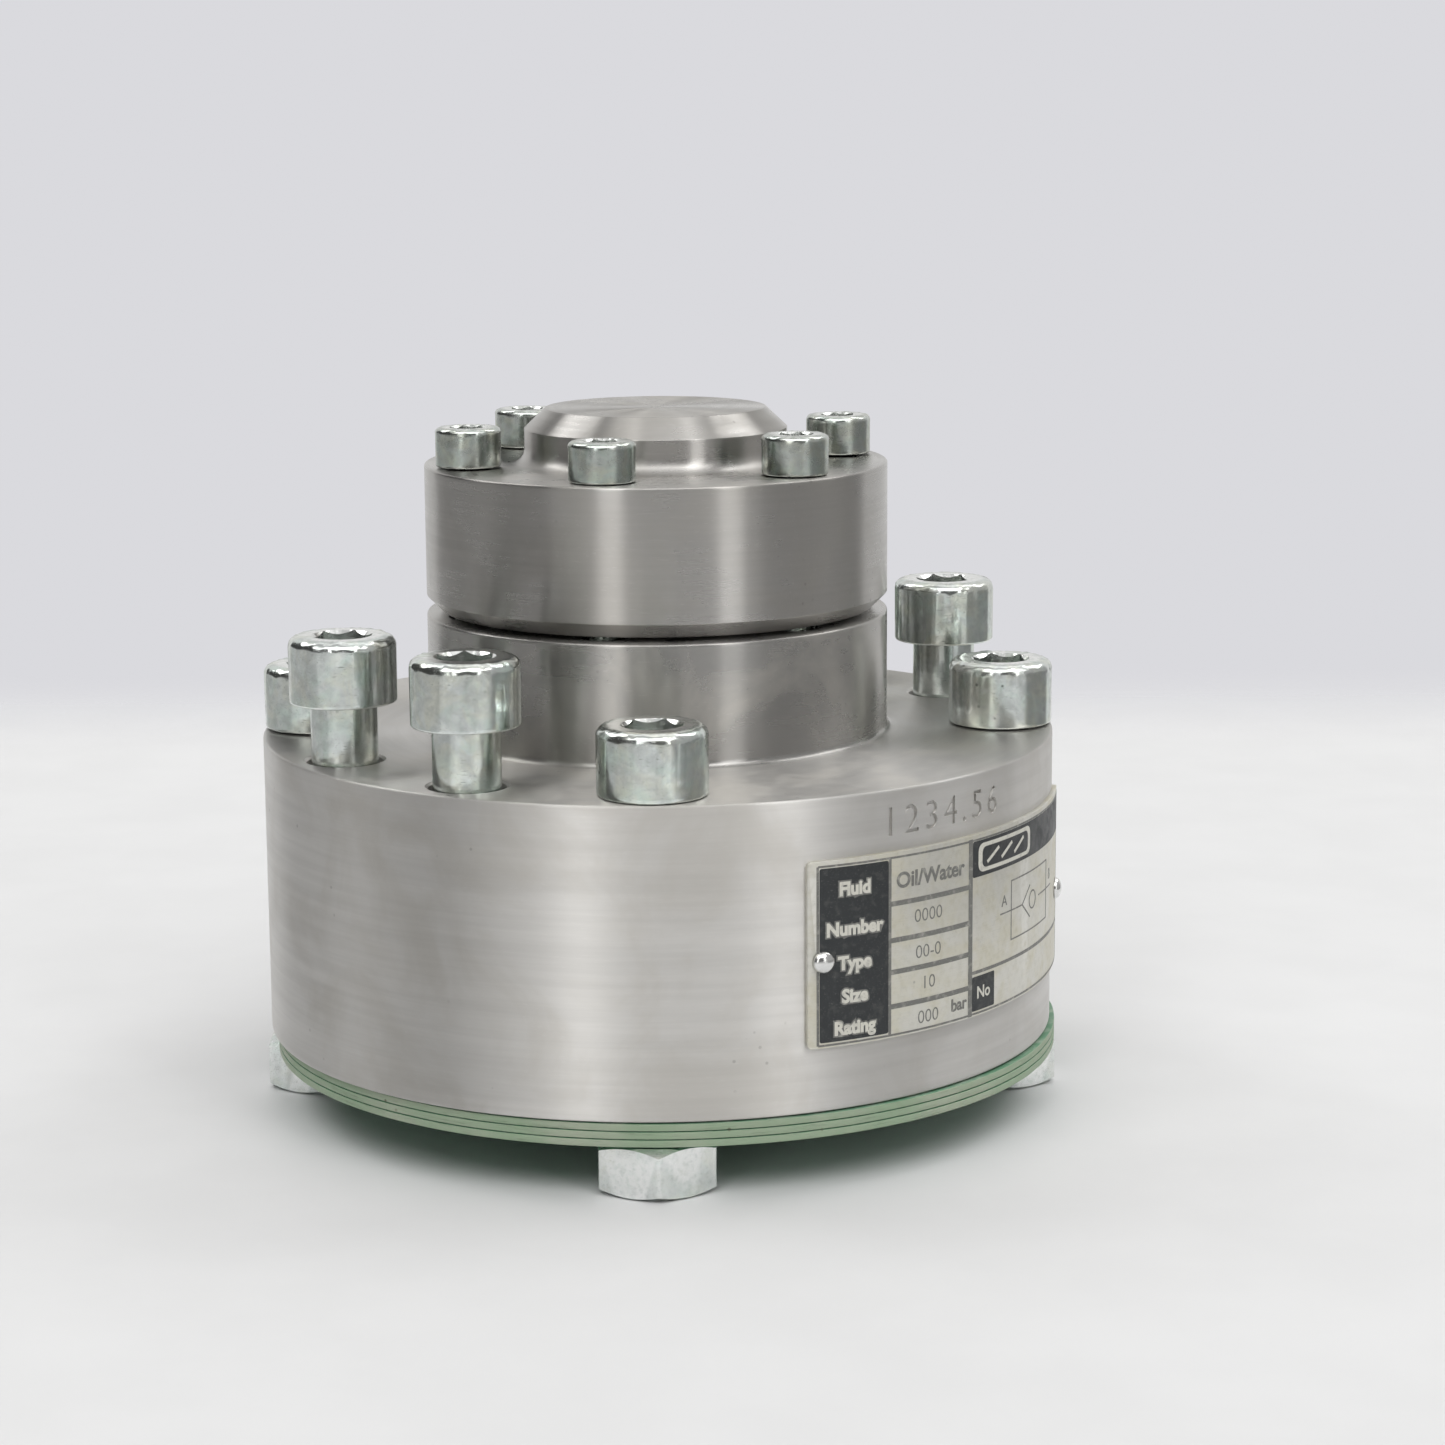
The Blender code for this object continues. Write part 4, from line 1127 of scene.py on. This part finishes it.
def make_print(shape):
    """The fields, rules, words and the valve symbol that are printed on the nameplate."""
    ink = shape.ink
    black, grey, pale = [], [], []
    top, bottom = above(35.9), above(10.4)
    black.append(panel(LABELS_AZ, (bottom, top), PLATE_R, ink, 0.3 * MM))
    black.append(panel((48.2, 84.0), (above(30.6), above(36.0)), PLATE_R, ink, 0.3 * MM))
    black.append(panel(SMALL_FIELD_AZ, (above(10.4), above(15.6)), PLATE_R, ink, 0.2 * MM))
    rule = 0.75 * MM
    for _, low, _ in ROWS[:-1]:
        grey.append(panel((33.0, 47.4), (above(low) - rule, above(low)), PLATE_R, ink))
    for height in (10.0, 36.2):
        heights = (above(height) - 0.15 * MM, above(height) + 0.15 * MM)
        grey.append(panel((22.0, 84.4), heights, PLATE_R, ink))
    for azimuth, width in ((21.95, 0.4), (32.85, 0.5), (47.75, 0.9), (84.3, 0.4)):
        grey.append(line((azimuth, above(10.2)), (azimuth, above(36.0)), width * MM, PLATE_R, ink * 1.1))
    heights = (above(16.0), above(16.5))
    grey.append(panel((48.0, 84.2), heights, PLATE_R, ink))
    label_az = sum(LABELS_AZ) / 2
    layer = 0.4 * ink
    for words, low, high in ROWS:
        z = above((low + high) / 2)
        halo_r = PLATE_R + ink
        grey.append(lettering("print", words, 2.7 * MM, label_az, z, halo_r, layer, 0.34 * MM))
        pale.append(lettering("print", words, 2.7 * MM, label_az, z, halo_r + 2 * layer, layer, 0.12 * MM))
    grey.append(lettering("print", "Oil/Water", 3.2 * MM, 40.1, above(32.6), PLATE_R, layer + ink, 0.08 * MM))
    grey.append(lettering("print", "bar", 2.6 * MM, 45.4, above(12.2), PLATE_R, layer + ink, 0.06 * MM))
    pale.append(lettering("print", "No", 2.6 * MM, 50.8, above(13.0), PLATE_R + ink, layer, 0.05 * MM))
    for words, (_, _, high) in zip(("0000", "00-0", "10", "000"), ROWS[1:]):
        z = above(high - 2.2)
        grey.append(lettering("print", words, 2.8 * MM, 39.5, z, PLATE_R, 0.3 * ink, -0.02 * MM))
    pale.append(panel((49.4, 64.0), (above(31.2), above(35.5)), PLATE_R + ink, ink, 1.2 * MM))
    black.append(panel((50.3, 63.1), (above(31.8), above(34.9)), PLATE_R + 2 * ink, ink, 0.9 * MM))
    for number in range(3):
        start = 51.6 + 3.6 * number
        stroke = ((start, above(32.6)), (start + 2.5, above(34.1)))
        pale.append(line(*stroke, 0.5 * MM, PLATE_R + 3 * ink, ink))
    grey += valve_symbol(ink)
    for name, pieces, material_name in (
        ("print_black_fields", black, "black_ink"),
        ("print_grey_lines", grey, "grey_ink"),
        ("print_pale_letters", pale, "pale_letters"),
    ):
        whole = joined(pieces)
        whole.name = name
        whole.data.name = name
        finish(whole, material(material_name), "valve", "plate_aluminium")


def valve_symbol(ink):
    """The check valve symbol: a box, the line through it, and a ball in a seat."""
    width = 0.22 * MM
    left, right, low, high = 58.0, 72.0, above(19.2), above(28.2)
    mid = (low + high) / 2
    lines = [
        ((left, low), (right, low)), ((left, high), (right, high)),
        ((left, low), (left, high)), ((right, low), (right, high)),
        ((left - 3.0, mid), (61.5, mid)), ((68.0, mid), (right + 3.0, mid)),
        ((61.5, mid), (64.2, mid + 2.4 * MM)), ((61.5, mid), (64.2, mid - 2.4 * MM)),
    ]
    pieces = [line(start, end, width, PLATE_R, ink) for start, end in lines]
    sides = 24
    ball = (65.3, 1.35 * MM)
    spots = []
    for i in range(sides + 1):
        angle = math.tau * i / sides
        across = math.degrees(ball[1] * math.cos(angle) / PLATE_R)
        spots.append((ball[0] + across, mid + ball[1] * math.sin(angle)))
    pieces += [line(a, b, width, PLATE_R, ink) for a, b in zip(spots, spots[1:])]
    pieces.append(lettering("print", "A", 2.4 * MM, left - 2.0, mid + 1.8 * MM, PLATE_R, ink))
    pieces.append(lettering("print", "B", 2.4 * MM, right + 2.0, mid + 1.8 * MM, PLATE_R, ink))
    return pieces


def make_rivets():
    """Two domed drive rivets with a flat lip round the dome."""
    corners = [
        (RIVET_HEAD_R, 0.0, 0.1 * MM),
        (RIVET_SHANK_R, 0.0, 0.0),
        (RIVET_SHANK_R, -RIVET_LENGTH, 0.2 * MM),
        (0.0, -RIVET_LENGTH, 0.0),
    ]
    dome = []
    count = 10
    for i in range(count):
        angle = math.pi / 2 * i / count
        dome.append((RIVET_HEAD_R * math.sin(angle), RIVET_HEAD_H * math.cos(angle)))
    blank = spun("rivet", dome + rounded(corners), 48)
    for name, azimuth in zip(RIVETS, RIVET_AZ):
        seat = PLATE_R + 0.1 * MM
        place = Matrix.Translation(place_at(seat, azimuth, middle(name).z)) @ outward(azimuth)
        rivet = copied(blank, name + "_domed", place)
        finish(rivet, material("rivet_head_steel"), "valve", "rivet_steel", name)
    bpy.data.objects.remove(blank)


def make_spring():
    """The closing spring: its first and last turns lie close, and their ends are ground flat."""
    low, high = SPRING_Z
    height = high - low - 2 * SPRING_WIRE_R
    pitch = height / SPRING_TURNS
    end_rise = 2 * SPRING_WIRE_R + 0.3 * MM
    spring = add_primitive(
        "spring_coiled", "circle", vertices=16, radius=SPRING_WIRE_R, fill_type="NOTHING",
        location=(SPRING_COIL_R, 0, 0), rotation=(math.pi / 2, 0, 0),
    )
    screw = spring.modifiers.new("coil", "SCREW")
    screw.steps = screw.render_steps = 48
    screw.iterations = SPRING_TURNS
    screw.screw_offset = pitch
    bpy.ops.object.modifier_apply(modifier=screw.name)
    for vertex in spring.data.vertices:
        x, y, z = vertex.co
        share = math.atan2(y, x) / math.tau
        turn = round(z / pitch - share) + share
        if turn < 1:
            rise = end_rise * turn
        elif turn > SPRING_TURNS - 1:
            rise = height - end_rise * (SPRING_TURNS - turn)
        else:
            rise = end_rise + (turn - 1) / (SPRING_TURNS - 2) * (height - 2 * end_rise)
        place = low + SPRING_WIRE_R + rise + z - pitch * turn
        vertex.co.z = min(max(place, low + 0.2 * MM), high - 0.2 * MM)
    bpy.ops.object.mode_set(mode="EDIT")
    bpy.ops.mesh.select_all(action="DESELECT")
    bpy.ops.mesh.select_mode(type="EDGE")
    bpy.ops.mesh.select_non_manifold()
    bpy.ops.mesh.edge_face_add()
    close_shape()
    bpy.ops.mesh.select_mode(type="VERT")
    bpy.ops.object.mode_set(mode="OBJECT")
    finish(spring, material("spring_wire"), "valve", "spring_steel", "spring")
    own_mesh(spring)


INNER_FINISHES = {
    "seat_ring": "ground_steel",
    "guide_cage": "ground_steel",
    "poppet": "ground_steel",
    "cover_o_ring": "seal_rubber",
    "seat_o_ring": "seal_rubber",
    "port_a_o_ring": "seal_rubber",
    "port_b_o_ring": "seal_rubber",
    "cover_backup_ring": "backup_plastic",
}


def finish_inner_parts():
    """Gives the parts inside the valve their finishes."""
    for name, material_name in INNER_FINISHES.items():
        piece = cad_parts[name]
        for place in piece.material_slots:
            place.material = material(material_name)


# The stage


def make_floor(look):
    """A pale floor that fades into the backdrop's colour."""
    floor = spun("floor", [(0.0, 0.0), (0.12, 0.0), (0.25, 0.0), (0.5, 0.0)], 96)
    floor.data.transform(Matrix.Translation((0, 0, -0.02 * MM)))
    made, tree, shader = new_material("pale_floor")
    place = node(tree, "TexCoord").outputs["Object"]
    apart = node(tree, "SeparateXYZ", {0: place}).outputs
    across = maths(tree, "MULTIPLY", maths(tree, "ABSOLUTE", apart[0]), 1.55)
    distance = maths(tree, "MAXIMUM", across, maths(tree, "ABSOLUTE", apart[1]))
    grain = use_group(tree, "skin", Grain=25.0 * MM, Detail=5.0)["Skin"]
    colour = mixed(tree, ramp(tree, grain, 0.3, 0.7), look.floor, shaded(look.floor, 0.97))
    rough = maths(tree, "MULTIPLY_ADD", grain, 0.1, 0.55)
    wire(tree, shader, colour, rough)
    fade = ramp(tree, distance, 0.38, 0.26)
    tree.links.new(fade, shader.inputs["Alpha"])
    floor.data.materials.clear()
    floor.data.materials.append(made)


def glow(tree, value, centre, half, soft):
    """1 within half of the centre, and a soft fall to 0 beyond."""
    away = maths(tree, "ABSOLUTE", maths(tree, "SUBTRACT", value, centre))
    return ramp(tree, away, half + soft, half)


def light_room(scene, look):
    """A studio seen as light: strips in front and behind, a soft light overhead, darker side walls."""
    world = bpy.data.worlds.new("studio")
    scene.world = world
    world.use_nodes = True
    tree = world.node_tree
    tree.nodes.clear()
    direction = node(tree, "SeparateXYZ", {0: node(tree, "TexCoord").outputs["Generated"]}).outputs
    forward = maths(tree, "MULTIPLY", direction[1], -1.0)
    azimuth = maths(tree, "DEGREES", maths(tree, "ARCTAN2", direction[0], forward))
    elevation = maths(tree, "DEGREES", maths(tree, "ARCSINE", direction[2]))
    above, below = WALL
    for centre, half, soft, over, under in WALLS:
        share = glow(tree, azimuth, centre, half, soft)
        above = node(tree, "Mix", {0: share, 2: above, 3: over}).outputs[0]
        below = node(tree, "Mix", {0: share, 2: below, 3: under}).outputs[0]
    for centre, half, height, half_height, soft, share in LAMPS:
        lamp = glow(tree, azimuth, centre, half, soft)
        lamp = maths(tree, "MULTIPLY", lamp, glow(tree, elevation, height, half_height, soft))
        above = maths(tree, "MULTIPLY_ADD", lamp, look.strip_strength * share, above)
    above_head = ramp(tree, elevation, 40.0, 66.0, 0.0, look.overhead_strength)
    above = maths(tree, "ADD", above, above_head)
    strength = node(tree, "Mix", {0: ramp(tree, elevation, 1.0, -1.0), 2: above, 3: below}).outputs[0]
    light = node(tree, "Background", {"Color": (1.0, 0.995, 0.985, 1.0), "Strength": strength}).outputs[0]
    seen = node(tree, "Background", {"Color": (*look.backdrop, 1.0), "Strength": 1.0}).outputs[0]
    is_seen = node(tree, "LightPath").outputs["Is Camera Ray"]
    either = node(tree, "MixShader", {0: is_seen, 1: light, 2: seen}).outputs[0]
    node(tree, "OutputWorld", {"Surface": either})


CAMERA_PLACE = (9.38 * MM, -537.39 * MM, 159.91 * MM)
CAMERA_YAW, CAMERA_PITCH, CAMERA_ROLL = -0.0686, -10.7711, -0.3679


def make_camera(scene, look):
    data = bpy.data.cameras.new("camera")
    data.lens = look.lens
    data.sensor_width = 36.0
    data.clip_start = 10 * MM
    camera = bpy.data.objects.new("camera", data)
    scene.collection.objects.link(camera)
    level = Matrix.Rotation(math.radians(90 + CAMERA_PITCH), 4, "X")
    heading = Matrix.Rotation(math.radians(CAMERA_YAW), 4, "Z")
    roll = Matrix.Rotation(math.radians(CAMERA_ROLL), 4, "Z")
    camera.matrix_world = Matrix.Translation(CAMERA_PLACE) @ heading @ level @ roll
    scene.camera = camera


# Operators


class VALVE_OT_materials(bpy.types.Operator):
    """Make every finish of the valve"""

    bl_idname = "valve.materials"
    bl_label = "Finishes"

    def execute(self, context):
        make_materials(context.scene)
        return {"FINISHED"}


class VALVE_OT_body(bpy.types.Operator):
    """Turn the valve body with its holes and its stamped number"""

    bl_idname = "valve.body"
    bl_label = "Valve Body"

    def execute(self, context):
        make_valve_body(context.scene.valve_shape)
        return {"FINISHED"}


class VALVE_OT_cover(bpy.types.Operator):
    """Turn the top cover with its boss and its screw holes"""

    bl_idname = "valve.cover"
    bl_label = "Top Cover"

    def execute(self, context):
        make_top_cover(context.scene.valve_shape)
        return {"FINISHED"}


class VALVE_OT_flange_screws(bpy.types.Operator):
    """Make the eight large socket head screws"""

    bl_idname = "valve.flange_screws"
    bl_label = "Flange Screws"

    def execute(self, context):
        shape = context.scene.valve_shape
        coats = ("bright_zinc_plating", "bright_zinc")
        make_screws(FLANGE_SCREWS, SCREW_BODIES, SCREW, SCREW_TURN, *coats, shape)
        return {"FINISHED"}


class VALVE_OT_cover_screws(bpy.types.Operator):
    """Make the six small socket head screws of the cover"""

    bl_idname = "valve.cover_screws"
    bl_label = "Cover Screws"

    def execute(self, context):
        shape = context.scene.valve_shape
        bodies = ["valve"] * len(COVER_SCREWS)
        coats = ("dull_zinc_plating", "dull_zinc")
        make_screws(COVER_SCREWS, bodies, SMALL_SCREW, SMALL_SCREW_TURN, *coats, shape)
        return {"FINISHED"}


class VALVE_OT_hex_nuts(bpy.types.Operator):
    """Make the four hexagon nuts that the valve stands on"""

    bl_idname = "valve.hex_nuts"
    bl_label = "Hexagon Nuts"

    def execute(self, context):
        make_hex_nuts(context.scene.valve_shape)
        return {"FINISHED"}


class VALVE_OT_discs(bpy.types.Operator):
    """Make the three green transport discs"""

    bl_idname = "valve.discs"
    bl_label = "Transport Discs"

    def execute(self, context):
        make_protection_discs(context.scene.valve_shape)
        return {"FINISHED"}


class VALVE_OT_nameplate(bpy.types.Operator):
    """Make the curved nameplate and what is printed on it"""

    bl_idname = "valve.nameplate"
    bl_label = "Nameplate"

    def execute(self, context):
        make_nameplate()
        make_print(context.scene.valve_shape)
        return {"FINISHED"}


class VALVE_OT_rivets(bpy.types.Operator):
    """Make the nameplate's two domed rivets"""

    bl_idname = "valve.rivets"
    bl_label = "Rivets"

    def execute(self, context):
        make_rivets()
        return {"FINISHED"}


class VALVE_OT_inner_parts(bpy.types.Operator):
    """Finish the seat, cage, poppet, spring and seals inside the valve"""

    bl_idname = "valve.inner_parts"
    bl_label = "Inner Parts"

    def execute(self, context):
        finish_inner_parts()
        make_spring()
        return {"FINISHED"}


class VALVE_OT_stage(bpy.types.Operator):
    """Set the floor, the light and the camera"""

    bl_idname = "valve.stage"
    bl_label = "Stage"

    def execute(self, context):
        scene = context.scene
        look = scene.valve_stage
        scene.view_settings.view_transform = "Standard"
        make_floor(look)
        light_room(scene, look)
        make_camera(scene, look)
        return {"FINISHED"}


STEPS = (
    VALVE_OT_materials, VALVE_OT_body, VALVE_OT_cover, VALVE_OT_flange_screws, VALVE_OT_cover_screws,
    VALVE_OT_hex_nuts, VALVE_OT_discs, VALVE_OT_nameplate, VALVE_OT_rivets, VALVE_OT_inner_parts,
    VALVE_OT_stage,
)


class VALVE_PT_panel(bpy.types.Panel):
    """The valve's operators in the order they run"""

    bl_idname = "VALVE_PT_panel"
    bl_label = "Check Valve"
    bl_space_type = "VIEW_3D"
    bl_region_type = "UI"
    bl_category = "Check Valve"

    def draw(self, context):
        column = self.layout.column(align=True)
        for step in STEPS:
            column.operator(step.bl_idname)


SETTINGS = {"valve_shape": ValveShape, "valve_finish": ValveFinish, "valve_stage": StageLook}
CLASSES = (*SETTINGS.values(), *STEPS, VALVE_PT_panel)


def register():
    for each in CLASSES:
        bpy.utils.register_class(each)
    for name, group in SETTINGS.items():
        setattr(bpy.types.Scene, name, bpy.props.PointerProperty(type=group))


def unregister():
    for name in SETTINGS:
        delattr(bpy.types.Scene, name)
    for each in reversed(CLASSES):
        bpy.utils.unregister_class(each)


def main():
    register()
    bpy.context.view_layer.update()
    for step in STEPS:
        family, name = step.bl_idname.split(".")
        getattr(getattr(bpy.ops, family), name)()


if __name__ == "__main__":
    main()
